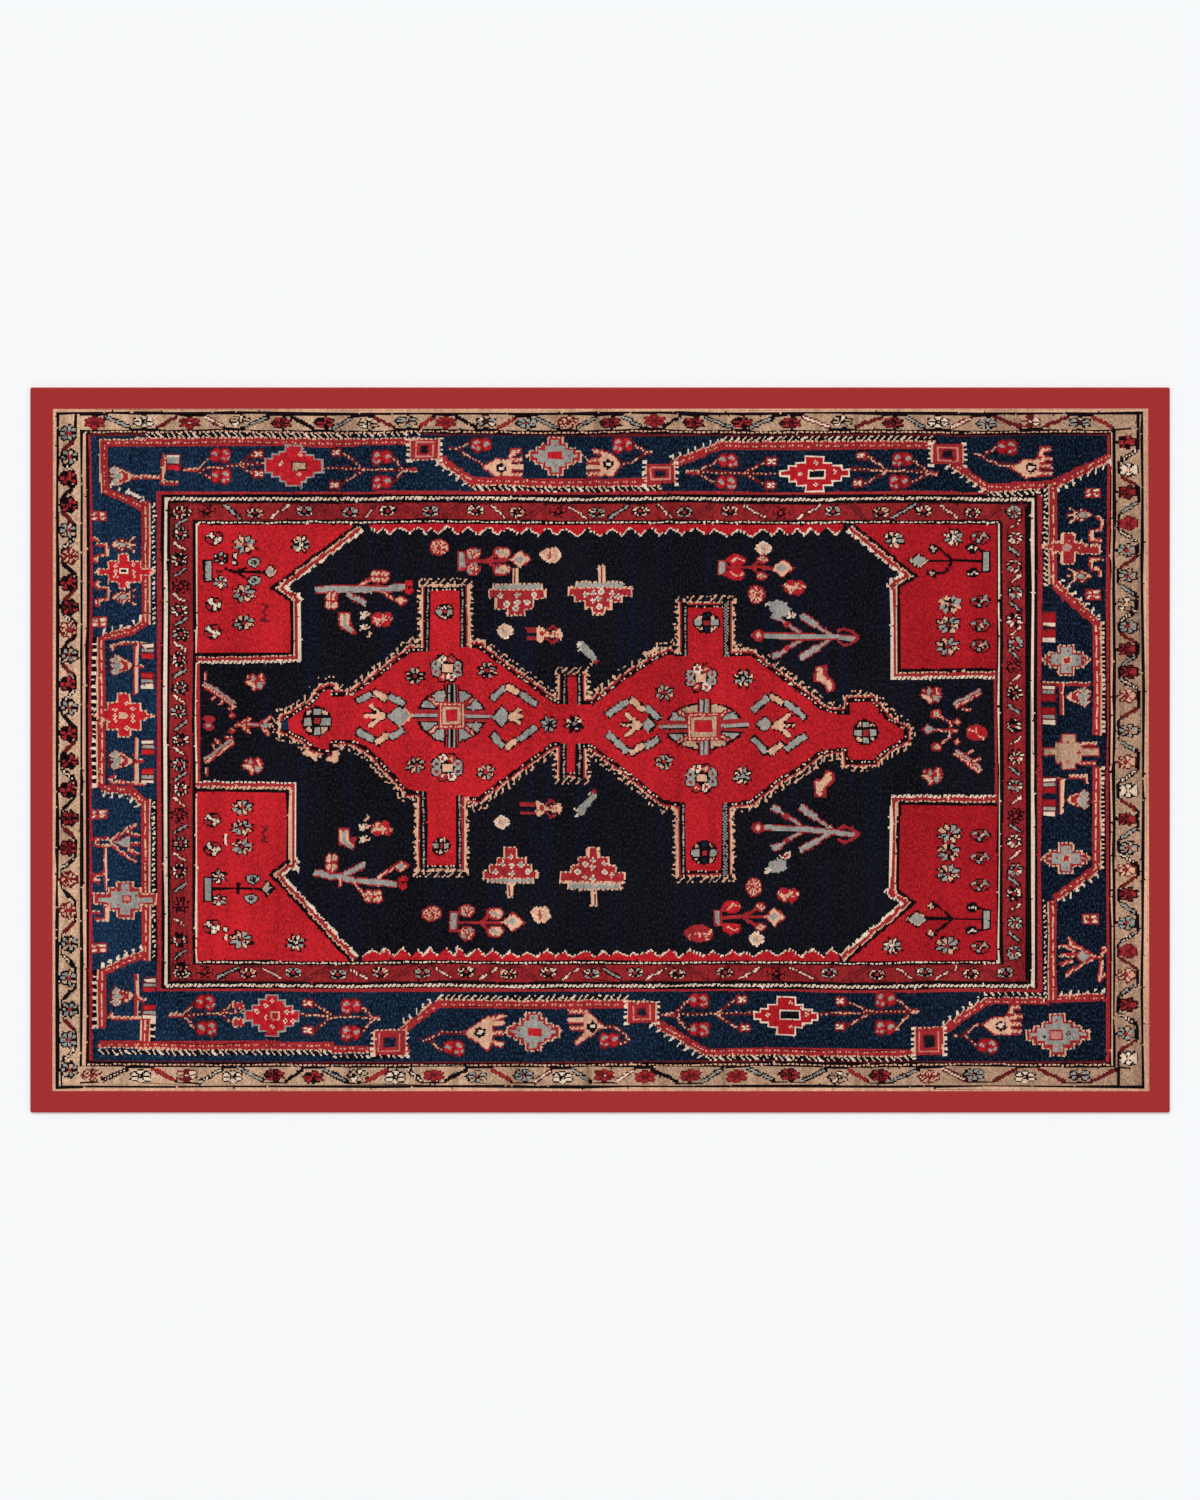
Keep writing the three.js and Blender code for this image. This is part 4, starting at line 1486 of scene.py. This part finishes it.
# birds, figures, leaves and feathers
for points in (
    [
        (-15.2, 70.6), (-12, 72.4), (-8.6, 69.6), (-2.4, 62.4), (-1, 59.6), (-4, 58.6), (-7.6, 61.4),
        (-12.4, 65.4), (-15, 68.4),
    ],
    [(-3, -27.6), (-1.6, -30.4), (-7.6, -38), (-11, -43.4), (-14.4, -44.6), (-14.6, -39.6), (-10, -34.6)],
    [(112, 98.6), (118.6, 99.8), (124.8, 97.4), (127.6, 93.4), (125, 88.6), (119, 89.4), (113.6, 93)],
    [
        (110.6, -79), (112.6, -74.6), (118.6, -72.4), (123.4, -74), (124.6, -78.8), (120, -82.6),
        (114.6, -81.6),
    ],
):
    paintShape(points, "grey")
for points in (
    [(-15.6, 71), (-13, 70), (-15.2, 68.4)], [(-14.6, 66.4), (-12.6, 67)], [(-17, -39.6), (-14, -40.4)],
    [(-16.6, -43.6), (-13.6, -44)], [(110, 97.6), (112.4, 96.4)], [(110, -82.6), (112.8, -80.4)],
    [(109.6, -79.6), (111.6, -78)],
):
    layStrands(points, [(-0.9, 0.9, "cream")])
for points, dye in (
    ([(-4.4, 58.6), (-1.6, 61.4), (0, 60), (-2.8, 56.8)], "crimson"),
    ([(-7.8, 57.8), (-4.4, 58.6), (-5.4, 56.4)], "sand"),
    ([(-6, -27.4), (-2.6, -26), (-2.4, -29)], "crimson"),
    ([(-9.8, -29.4), (-6.6, -27.4), (-6.2, -30.6)], "cream"),
    ([(126, 92.4), (130.6, 90.8), (130.4, 87), (125.4, 88.4)], "cream"),
    ([(127, 91), (129.4, 90), (129, 88)], "crimson"),
    ([(119.6, -70.4), (127.4, -66.8), (127.2, -71), (122.4, -73.4)], "cream"),
    ([(121.6, -70.6), (126.2, -68.6), (125.6, -70.8)], "crimson"),
):
    paintShape(points, dye)
for y in (76.4, -39.6):
    for leg in (2.6, -2.6):
        layStrands([(-48.2 if y > 0 else -52, y + leg + 0.4), (-41, y + leg + 0.4)], [(-1.2, 1.2, "crimson")])
    paintShape(
        [
            (-41.6, y + 5.4), (-39.4, y + 5), (-35, y + 1.8), (-26, y + 3.4), (-24.8, y), (-26, y - 3),
            (-35, y - 1.4), (-39.6, y - 5), (-41.6, y - 4.8),
        ],
        "peach",
    )
    paintShape([(-40, y + 0.8), (-38.6, y + 2.4), (-36.8, y + 0.4), (-39, y - 2)], "crimson")
    layStrands([(-36, y + 2.2), (-32.4, y + 5.8), (-28.6, y + 3)], [(-0.8, 0.8, "crimson")])
    layStrands([(-36, y - 1.8), (-32.6, y - 5.4), (-28.6, y - 2.6)], [(-0.8, 0.8, "crimson")])
    layStrands([(-33.6, y + 0.6), (-27, y + 0.4)], [(-0.7, 0.7, "crimson", 2.4, 1.2, 0)])
for flip, y in ((1, 47.4), (-1, -22.2)):
    paintShape(
        [
            (142.6, y + 8.8 * flip), (150.8, y + 8.6 * flip), (150.6, y + 3 * flip), (156, y - 2 * flip),
            (155.4, y - 8.4 * flip), (151, y - 9 * flip), (148, y - 3 * flip), (142.4, y - 2.6 * flip),
        ],
        "crimson",
    )
    paintShape(
        [
            (144.6, y + 7.6 * flip), (147.8, y + 7.4 * flip), (148.6, y + 2.4 * flip), (154, y - 3 * flip),
            (153.4, y - 7.6 * flip), (150.6, y - 6 * flip), (147, y - 1.4 * flip), (143.6, y - 1.4 * flip),
        ],
        "peach",
    )
for points in (
    [(-263, 44), (-254, 38.6), (-243.6, 30.2)], [(-263, -7.4), (-254, -1.2), (-244.4, 6)],
    [(236.6, 29.4), (245, 34), (253.6, 39)], [(236, -1.6), (244.6, -7.4), (252.6, -14.4)],
):
    layStrands(points, [(-2.4, 2.4, "crimson"), (-1.7, -0.3, "peach"), (0.5, 1.9, "grey")])
for points in (
    [(-262.4, 52.6), (-262.4, 47.6)], [(-262.4, -12.4), (-262.4, -17)], [(-256, 36), (-258, 34)],
    [(-251, 33), (-253.4, 30.4)], [(-256.6, 0.6), (-258, 3.8)], [(-252.6, 3.6), (-257, 6.6)],
    [(-250, 8), (-245, 8.4)], [(-247, 27), (-243, 28.6)], [(241, 27), (246.6, 26)],
    [(242, -3.4), (247.4, -1)], [(247, -8), (252.6, -6)],
):
    layStrands(points, feather)
for x, y in ((-244.6, 22.9), (-244.9, 12.7), (237.4, 18.5), (237.4, 5.4)):
    layDiamond(x, y, 3, 2.8, ["crimson", "peach"])
paintOval(-260, 20.8, 4, 2.6, "crimson")
paintOval(-260.4, 15.9, 3.4, 3, "crimson")
paintOval(-260.4, 15.9, 1.5, 1.4, "grey")
layStrands([(-235, 16.4), (-224, 16.4)], [(-1.2, 1.2, "crimson"), (-0.7, 0.7, "grey")])
for points in (
    [(-242, 16.8), (-234.6, 16.6)], [(-239, 16.8), (-233.4, 21)], [(-239, 16.4), (-233.6, 12)],
    [(-226, 16.6), (-219, 22)], [(-226, 16.4), (-217.6, 16)], [(-226, 16.2), (-220.4, 9.6)],
):
    layStrands(points, branchlet)
layDiamond(-223, 16.2, 3, 2.2, ["grey"])
layStrands([(221, 13.2), (237, 12.6)], [(-1.3, 1.3, "crimson"), (-0.5, 0.5, "peach")])
layDiamond(218.4, 14, 4.6, 4, ["crimson", "grey"])
for side in (1, -1):
    layStrands([(233, 13), (233, 13 + 4.6 * side), (226, 13 + 9.2 * side)], feather)
    paintOval(223.4, 13 + 10.8 * side, 3.6, 3.4, "crimson")
    paintOval(223.8, 13 + 10.8 * side, 2.4, 2.2, "peach")
    paintOval(223.6, 13 + 10.8 * side, 1, 0.9, "grey")
paintOval(250.7, 11.2, 7.2, 5.4, "crimson")
paintOval(250.7, 11.2, 6.2, 4.4, "scarlet")
for points in ([(246, 13), (249, 12.4)], [(250, 15), (251.4, 10), (254.4, 6.8)]):
    layStrands(points, [(-0.6, 0.6, "peach")])
paintOval(65.4, -121.9, 9.2, 5.8, "crimson")
layStrands([(64, -121.6), (73.4, -121.2)], [(-0.8, 0.8, "peach")])
for x in (59, 66, 70):
    layStrands([(x, -123), (x + 0.4, -126)], [(-0.8, 0.8, "peach", 2, 1.2, 0)])


unevenness = {"share": 0.045, "seed": 11}  # the share of stray knots, and the seed that places them


def unsettleKnots():
    # here and there a knot takes the yarn of the one beside it
    chance = np.random.default_rng(unevenness["seed"]).random(cartoon.shape)
    settled = cartoon.copy()
    share = unevenness["share"]
    for number, step in enumerate(oneKnotAway):
        taken = (chance >= number * share / 4) & (chance < (number + 1) * share / 4)
        cartoon[taken] = np.roll(settled, step, (0, 1))[taken]


twistLightLines(("cream", "peach"), *insideWine)
twistLightLines(("peach",), *wholeCarpet)
unsettleKnots()
print("field woven")

# the cloth: the printed face cut along every change of dye, over a rounded edge and a flat underside
clothShape = {
    "cornerRadius": 4 * mm,
    "cornerSteps": 4,
    "edgeStep": 60 * mm,  # spacing of points along the rim
    "backing": 1.5 * mm,  # firm lower part, cut square
    "pileRounding": 1.5 * mm,  # how far the pile leans in at the top of the edge
    "pileEdgeSteps": 3,
}


def rimPoints(inset):
    radius = clothShape["cornerRadius"]
    farX, farY = rugHigh.x - radius, rugHigh.y - radius
    steps = clothShape["cornerSteps"]
    points = []
    for turn, (cx, cy) in enumerate([(farX, farY), (-farX, farY), (-farX, -farY), (farX, -farY)]):
        for step in range(steps + 1):
            angle = (turn + step / steps) * math.pi / 2
            points.append((cx + (radius - inset) * math.cos(angle), cy + (radius - inset) * math.sin(angle)))
        run = 2 * (farX if turn % 2 == 0 else farY)
        count = round(run / clothShape["edgeStep"])
        stepX, stepY = [(-1, 0), (0, -1), (1, 0), (0, 1)][turn]
        lastX, lastY = points[-1]
        for step in range(1, count):
            points.append((lastX + stepX * run * step / count, lastY + stepY * run * step / count))
    return points


def cutFace():
    # corners of the printed pattern, joined along every change of dye, then cut into triangles
    framed = np.pad(cartoon, 1, constant_values=dyeNumber["band"])
    lowerLeft, lowerRight = framed[:-1, :-1], framed[:-1, 1:]
    upperLeft, upperRight = framed[1:, :-1], framed[1:, 1:]
    toLeft, toRight = lowerLeft != upperLeft, lowerRight != upperRight
    toBelow, toAbove = lowerLeft != lowerRight, upperLeft != upperRight
    straight = (toLeft & toRight & ~toBelow & ~toAbove) | (toBelow & toAbove & ~toLeft & ~toRight)
    corner = (toLeft | toRight | toBelow | toAbove) & ~straight
    numbers = np.full(corner.shape, -1)
    rows, columns = np.nonzero(corner)
    numbers[rows, columns] = np.arange(len(rows))
    places = [((c + carpet["left"]) * knot, (r + carpet["bottom"]) * knot) for r, c in zip(rows, columns)]
    seams = []
    for r in range(corner.shape[0]):
        stops = np.nonzero(corner[r])[0]
        for here, after in zip(stops[:-1], stops[1:]):
            if toRight[r, here]:
                seams.append((int(numbers[r, here]), int(numbers[r, after])))
    for c in range(corner.shape[1]):
        stops = np.nonzero(corner[:, c])[0]
        for here, after in zip(stops[:-1], stops[1:]):
            if toAbove[here, c]:
                seams.append((int(numbers[here, c]), int(numbers[after, c])))
    rim = rimPoints(clothShape["pileRounding"])
    first = len(places)
    places += rim
    seams += [(first + n, first + (n + 1) % len(rim)) for n in range(len(rim))]
    wholeOutline, nearness, keepSources = 0, 1e-6, True
    cut = delaunay_2d_cdt([Vector(place) for place in places], seams, [], wholeOutline, nearness, keepSources)
    points = [tuple(point) for point in cut[0]]
    rimNumbers = [None] * len(rim)
    for number, sources in enumerate(cut[3]):
        for source in sources:
            if source >= first:
                rimNumbers[source - first] = number
    return points, cut[2], rimNumbers


def dyeAt(x, y):
    column = math.floor(x / knot) - carpet["left"]
    row = math.floor(y / knot) - carpet["bottom"]
    if 0 <= column < carpetColumns and 0 <= row < carpetRows:
        return int(cartoon[row, column])
    return dyeNumber["band"]


drawing = {
    "drift": 0.5 * knot,  # slow wander of the drawn lines
    "driftLength": 70 * knot,
    "wobble": 0.45 * knot,  # unevenness from knot to knot
    "wobbleLength": 3 * knot,
    "easing": 25 * mm,  # width over which the wander sets in, from the edge inward
    "still": 0.2,  # the outer share of it where nothing moves
}


def drawnPlace(x, y):
    # the printed lines waver as hand-knotted ones do, and the cut edge stays straight
    fromEdge = min(rugHigh.x - abs(x), rugHigh.y - abs(y))
    freedom = min(max(fromEdge / drawing["easing"] - drawing["still"], 0.0), 1.0)
    moved = []
    for axis, start in enumerate((x, y)):
        wander = 0.0
        for reach, length, apart in (("drift", "driftLength", 0.0), ("wobble", "wobbleLength", 5.5)):
            place = Vector((x, y, (apart + 9.0 * axis) * drawing[length])) / drawing[length]
            wander += drawing[reach] * 2 * noise.noise(place)
        moved.append(start + freedom * wander)
    return moved


mapAreas = {  # left, bottom, width and height on the flat map
    "face": (0.004, 0.004, 0.992, 0.856),
    "underside": (0.004, 0.87, 0.486, 0.126),
    "farEdge": (0.5, 0.875, 0.496, 0.02),
    "nearEdge": (0.5, 0.905, 0.496, 0.02),
    "rightEdge": (0.5, 0.935, 0.496, 0.02),
    "leftEdge": (0.5, 0.965, 0.496, 0.02),
}


def mapCloth(mesh):
    # one flat map: the face large, the underside small above it and the thin edges beside that
    bakeMap = mesh.uv_layers.new(name="OFBake")
    width, depth, height = rugHigh.x - rugLow.x, rugHigh.y - rugLow.y, rugHigh.z - rugLow.z
    for face in mesh.polygons:
        lengthwise = abs(face.normal.y) > abs(face.normal.x)
        if abs(face.normal.z) > 0.9:
            areaName = "face" if face.normal.z > 0 else "underside"
        elif lengthwise:
            areaName = "farEdge" if face.normal.y > 0 else "nearEdge"
        else:
            areaName = "rightEdge" if face.normal.x > 0 else "leftEdge"
        left, bottom, areaWidth, areaHeight = mapAreas[areaName]
        for corner in face.loop_indices:
            x, y, z = mesh.vertices[mesh.loops[corner].vertex_index].co
            along, aside, up = (x - rugLow.x) / width, (y - rugLow.y) / depth, (z - rugLow.z) / height
            if areaName not in ("face", "underside"):
                along, aside = (along if lengthwise else aside), up
            bakeMap.data[corner].uv = (left + areaWidth * along, bottom + areaHeight * aside)


def edgeLevels():
    # inset, height and dye: the pile leans in at the rim, then the backing is cut square down to the floor
    pileHeight = rugHigh.z - clothShape["backing"]
    steps = clothShape["pileEdgeSteps"]
    levels = []
    for step in range(steps - 1, -1, -1):
        angle = step / steps * math.pi / 2
        inset = clothShape["pileRounding"] * (1 - math.cos(angle))
        levels.append((inset, clothShape["backing"] + pileHeight * math.sin(angle), "band"))
    return levels + [(0, rugLow.z, "backing")]


def makeCloth():
    points, triangles, rim = cutFace()
    vertices = [(*drawnPlace(x, y), rugHigh.z) for x, y in points]
    faces = [tuple(face) for face in triangles]
    faceDyes = []
    for face in triangles:
        middleX = sum(points[v][0] for v in face) / 3
        middleY = sum(points[v][1] for v in face) / 3
        faceDyes.append(dyeAt(middleX, middleY))
    upper = rim
    for inset, height, dye in edgeLevels():
        lower = list(range(len(vertices), len(vertices) + len(rim)))
        vertices += [(x, y, height) for x, y in rimPoints(inset)]
        for n in range(len(rim)):
            after = (n + 1) % len(rim)
            faces.append((lower[n], lower[after], upper[after], upper[n]))
            faceDyes.append(dyeNumber[dye])
        upper = lower
    faces.append(tuple(reversed(upper)))
    faceDyes.append(dyeNumber["backing"])
    mesh = bpy.data.meshes.new("printedRug")
    mesh.from_pydata(vertices, [], faces)
    mesh.polygons.foreach_set("material_index", faceDyes)
    for name, dye in dyes.items():
        makeMaterial = backingMaterial if "thread" in dye else pileMaterial
        mesh.materials.append(makeMaterial(name, dye))
    mesh.update()
    mapCloth(mesh)
    cloth = bpy.data.objects.new("printedRug", mesh)
    bpy.context.scene.collection.objects.link(cloth)
    return cloth, len(triangles)


def linearColour(code):
    channels = [int(code[n:n + 2], 16) / 255 for n in (0, 2, 4)]
    linear = [c / 12.92 if c <= 0.04045 else ((c + 0.055) / 1.055) ** 2.4 for c in channels]
    return (*linear, 1.0)


def startGroup(name, inputs, outputs):
    tree = bpy.data.node_groups.new(name, "ShaderNodeTree")
    kinds = {"colour": "NodeSocketColor", "value": "NodeSocketFloat"}
    for label, kind in inputs.items():
        tree.interface.new_socket(name=label, in_out="INPUT", socket_type=kinds[kind])
    for label, kind in outputs.items():
        tree.interface.new_socket(name=label, in_out="OUTPUT", socket_type=kinds[kind])
    return tree, tree.nodes.new("NodeGroupInput").outputs, tree.nodes.new("NodeGroupOutput").inputs


def addNode(tree, kind, inputs, **settings):
    node = tree.nodes.new(kind)
    for name, value in settings.items():
        setattr(node, name, value)
    for name, value in inputs.items():
        if isinstance(value, bpy.types.NodeSocket):
            tree.links.new(value, node.inputs[name])
        else:
            node.inputs[name].default_value = value
    return node.outputs


def reckon(tree, operation, *values):
    return addNode(tree, "ShaderNodeMath", dict(enumerate(values)), operation=operation)[0]


grain = {  # how many to the metre along and across the rug
    "patches": (9, 5),
    "streaks": (55, 2.5),
    "flecks": (330, 170),
    "tufts": (900, 700),
    "leanings": (260, 110),
    "fuzz": (400, 400),
    "upward": 200,
}


def grainNoise(tree, place, perMetre, detail, low, high):
    # noise stretched by its count to the metre each way, spread to run from 0 at low to 1 at high
    count = (*perMetre, grain["upward"])
    spread = addNode(tree, "ShaderNodeVectorMath", {0: place, 1: count}, operation="MULTIPLY")[0]
    tone = addNode(tree, "ShaderNodeTexNoise", {"Vector": spread, "Scale": 1.0, "Detail": detail})[0]
    return addNode(tree, "ShaderNodeMapRange", {"Value": tone, "From Min": low, "From Max": high})[0]


def makePrintedYarn():
    # dyed yarn: every knot a little off its neighbour, with flecks and streaks of the dye bath
    tree, given, result = startGroup(
        "printedYarn",
        {
            "Dye": "colour", "Fleck": "colour", "Streak": "colour", "Mottle": "value", "Flecks": "value",
            "Streaks": "value", "Deepening": "value", "Onset": "value",
        },
        {"Colour": "colour"},
    )
    place = addNode(tree, "ShaderNodeTexCoord", {})["Object"]
    cell = addNode(tree, "ShaderNodeVectorMath", {0: place, 1: (knot, knot, 1)}, operation="DIVIDE")[0]
    cell = addNode(tree, "ShaderNodeVectorMath", {0: cell}, operation="FLOOR")[0]
    knotTone = addNode(tree, "ShaderNodeTexWhiteNoise", {"Vector": cell})["Value"]
    patchTone = grainNoise(tree, place, grain["patches"], 2.0, 0.3, 0.7)
    knotShare = 0.6
    knotTone = reckon(tree, "MULTIPLY", knotTone, knotShare)
    patchTone = reckon(tree, "MULTIPLY", patchTone, 1 - knotShare)
    tone = reckon(tree, "SUBTRACT", reckon(tree, "ADD", knotTone, patchTone), 0.5)
    tone = reckon(tree, "MULTIPLY_ADD", tone, given["Mottle"], 1.0)
    across = addNode(tree, "ShaderNodeSeparateXYZ", {0: place})[0]
    ends = {"From Min": rugLow.x, "From Max": rugHigh.x}
    across = addNode(tree, "ShaderNodeMapRange", {"Value": across, **ends})[0]
    across = reckon(tree, "POWER", across, given["Onset"])
    depth = reckon(tree, "MULTIPLY", across, given["Deepening"])
    streaks = grainNoise(tree, place, grain["streaks"], 3.0, 0.48, 0.72)
    streaks = reckon(tree, "MULTIPLY", streaks, given["Streaks"])
    flecks = grainNoise(tree, place, grain["flecks"], 1.0, 0.5, 0.75)
    flecks = reckon(tree, "MULTIPLY", flecks, given["Flecks"])
    flecks = reckon(tree, "MULTIPLY", flecks, reckon(tree, "MULTIPLY_ADD", depth, -0.5, 1.0))
    ends = {6: given["Dye"], 7: given["Streak"]}
    deepened = addNode(tree, "ShaderNodeMix", {0: depth, **ends}, data_type="RGBA")[2]
    colour = addNode(tree, "ShaderNodeVectorMath", {0: deepened, "Scale": tone}, operation="SCALE")[0]
    for tint, share in (("Streak", streaks), ("Fleck", flecks)):
        colour = addNode(tree, "ShaderNodeMix", {0: share, 6: colour, 7: given[tint]}, data_type="RGBA")[2]
    tree.links.new(colour, result["Colour"])
    return tree


def makeShortPile():
    # the cloth's own cut pile: fine tufts in the bump and roughness, with painted shade and highlight in the
    # colour where the tufts are low and high
    made = {"Colour": "colour", "Height": "value", "Roughness": "value"}
    tree, given, result = startGroup("shortPile", {"Colour": "colour", "Depth": "value"}, made)
    place = addNode(tree, "ShaderNodeTexCoord", {})["Object"]
    tuft = grainNoise(tree, place, grain["tufts"], 2.0, 0.3, 0.7)
    lean = grainNoise(tree, place, grain["leanings"], 1.0, 0.3, 0.7)
    height = reckon(tree, "ADD", reckon(tree, "MULTIPLY", tuft, 0.6), reckon(tree, "MULTIPLY", lean, 0.4))
    # painted shade and highlight: the colour darkens where the tufts are low and lightens where they are high
    tone = reckon(tree, "MULTIPLY_ADD", reckon(tree, "SUBTRACT", height, 0.5), given["Depth"], 1.0)
    colour = addNode(tree, "ShaderNodeVectorMath", {0: given["Colour"], "Scale": tone}, operation="SCALE")[0]
    tree.links.new(colour, result["Colour"])
    tree.links.new(height, result["Height"])
    tree.links.new(reckon(tree, "MULTIPLY_ADD", height, 0.15, 0.82), result["Roughness"])
    return tree


printedYarn = makePrintedYarn()
shortPile = makeShortPile()
pile = {"specular": 0.02, "bump": 0.6, "bumpHeight": 0.6 * mm}


def pileMaterial(name, dye):
    material = bpy.data.materials.new(name + "Pile")
    material.use_nodes = True
    tree = material.node_tree
    shader = tree.nodes["Principled BSDF"]
    shader.inputs["Specular IOR Level"].default_value = pile["specular"]
    tufts = tree.nodes.new("ShaderNodeGroup")
    tufts.node_tree = shortPile
    # how strong the painted shade and highlight on the tufts is
    tufts.inputs["Depth"].default_value = dye["fibre"]
    if "fleck" in dye:
        dyed = tree.nodes.new("ShaderNodeGroup")
        dyed.node_tree = printedYarn
        for label, key in (("Dye", "colour"), ("Fleck", "fleck"), ("Streak", "streak")):
            dyed.inputs[label].default_value = linearColour(dye[key])
        for label in ("Mottle", "Flecks", "Streaks", "Deepening", "Onset"):
            dyed.inputs[label].default_value = dye[label.lower()]
        tree.links.new(dyed.outputs["Colour"], tufts.inputs["Colour"])
    else:
        tufts.inputs["Colour"].default_value = linearColour(dye["colour"])
    bump = addNode(tree, "ShaderNodeBump", {
        "Height": tufts.outputs["Height"], "Strength": pile["bump"], "Distance": pile["bumpHeight"],
    })
    tree.links.new(tufts.outputs["Colour"], shader.inputs["Base Color"])
    tree.links.new(tufts.outputs["Roughness"], shader.inputs["Roughness"])
    tree.links.new(bump[0], shader.inputs["Normal"])
    return material


def backingMaterial(name, dye):
    # undyed plain weave, threads over and under one another, with painted shade where the threads dip and a
    # random fuzz in the colour
    material = bpy.data.materials.new(name + "Weave")
    material.use_nodes = True
    tree = material.node_tree
    shader = tree.nodes["Principled BSDF"]
    shader.inputs["Roughness"].default_value = 0.95
    shader.inputs["Specular IOR Level"].default_value = pile["specular"]
    place = addNode(tree, "ShaderNodeTexCoord", {})["Object"]
    parts = addNode(tree, "ShaderNodeSeparateXYZ", {0: place})
    turns = [reckon(tree, "MULTIPLY", parts[n], math.pi / dye["thread"]) for n in (0, 1)]
    threads = [reckon(tree, "SINE", turn) for turn in turns]
    weave = reckon(tree, "MULTIPLY_ADD", reckon(tree, "MULTIPLY", *threads), 0.5, 0.5)
    fuzz = grainNoise(tree, place, grain["fuzz"], 2.0, 0.3, 0.7)
    # painted shade where the weave is low, mixed with random fuzz tone
    tone = reckon(tree, "MULTIPLY_ADD", reckon(tree, "ADD", weave, fuzz), dye["fibre"], 1 - dye["fibre"])
    undyed = linearColour(dye["colour"])[:3]
    tint = addNode(tree, "ShaderNodeVectorMath", {0: undyed, "Scale": tone}, operation="SCALE")[0]
    bump = addNode(tree, "ShaderNodeBump", {"Height": weave, "Strength": 0.6, "Distance": pile["bumpHeight"]})
    tree.links.new(tint, shader.inputs["Base Color"])
    tree.links.new(bump[0], shader.inputs["Normal"])
    return material


cloth, faceTriangles = makeCloth()
print("cloth cut:", faceTriangles, "triangles on the face")
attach(cloth, "root")
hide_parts("rug")

# floor, lights and camera
staging = {
    "floorReach": 30.0,
    "floorColour": "f7f9fb",
    "skyStrength": 0.72,
    "daylight": 1.2,
    "softness": 12,  # degrees that the lamp's disc spans
    "tilt": (-38, -22),  # degrees about X and Y
    "lens": 85,
    "viewWidth": 20 / 19,  # in rug lengths
    "viewHeight": 1.25,  # in view widths
}


def plainMaterial(name, colour):
    material = bpy.data.materials.new(name)
    material.use_nodes = True
    shader = material.node_tree.nodes["Principled BSDF"]
    shader.inputs["Base Color"].default_value = linearColour(colour)
    shader.inputs["Roughness"].default_value = 1.0
    return material


def layFloor():
    reach = staging["floorReach"]
    mesh = bpy.data.meshes.new("floor")
    corners = [(-reach, -reach, 0), (reach, -reach, 0), (reach, reach, 0), (-reach, reach, 0)]
    mesh.from_pydata(corners, [], [(0, 1, 2, 3)])
    mesh.materials.append(plainMaterial("paleFloor", staging["floorColour"]))
    floor = bpy.data.objects.new("floor", mesh)
    bpy.context.scene.collection.objects.link(floor)


def hangLights():
    world = bpy.data.worlds.new("studio")
    world.use_nodes = True
    world.node_tree.nodes["Background"].inputs["Color"].default_value = (1, 1, 1, 1)
    world.node_tree.nodes["Background"].inputs["Strength"].default_value = staging["skyStrength"]
    bpy.context.scene.world = world
    lampData = bpy.data.lights.new("daylight", "SUN")
    lampData.energy = staging["daylight"]
    lampData.angle = math.radians(staging["softness"])
    lamp = bpy.data.objects.new("daylight", lampData)
    lamp.rotation_euler = (math.radians(staging["tilt"][0]), math.radians(staging["tilt"][1]), 0)
    bpy.context.scene.collection.objects.link(lamp)


def setCamera():
    cameraData = bpy.data.cameras.new("camera")
    cameraData.lens = staging["lens"]
    camera = bpy.data.objects.new("camera", cameraData)
    viewHeight = (rugHigh.x - rugLow.x) * staging["viewWidth"] * staging["viewHeight"]
    camera.location = (0, 0, rugHigh.z + viewHeight * cameraData.lens / cameraData.sensor_width)
    bpy.context.scene.collection.objects.link(camera)
    bpy.context.scene.camera = camera
    bpy.context.scene.view_settings.view_transform = "Standard"


layFloor()
hangLights()
setCamera()
print("stage set")
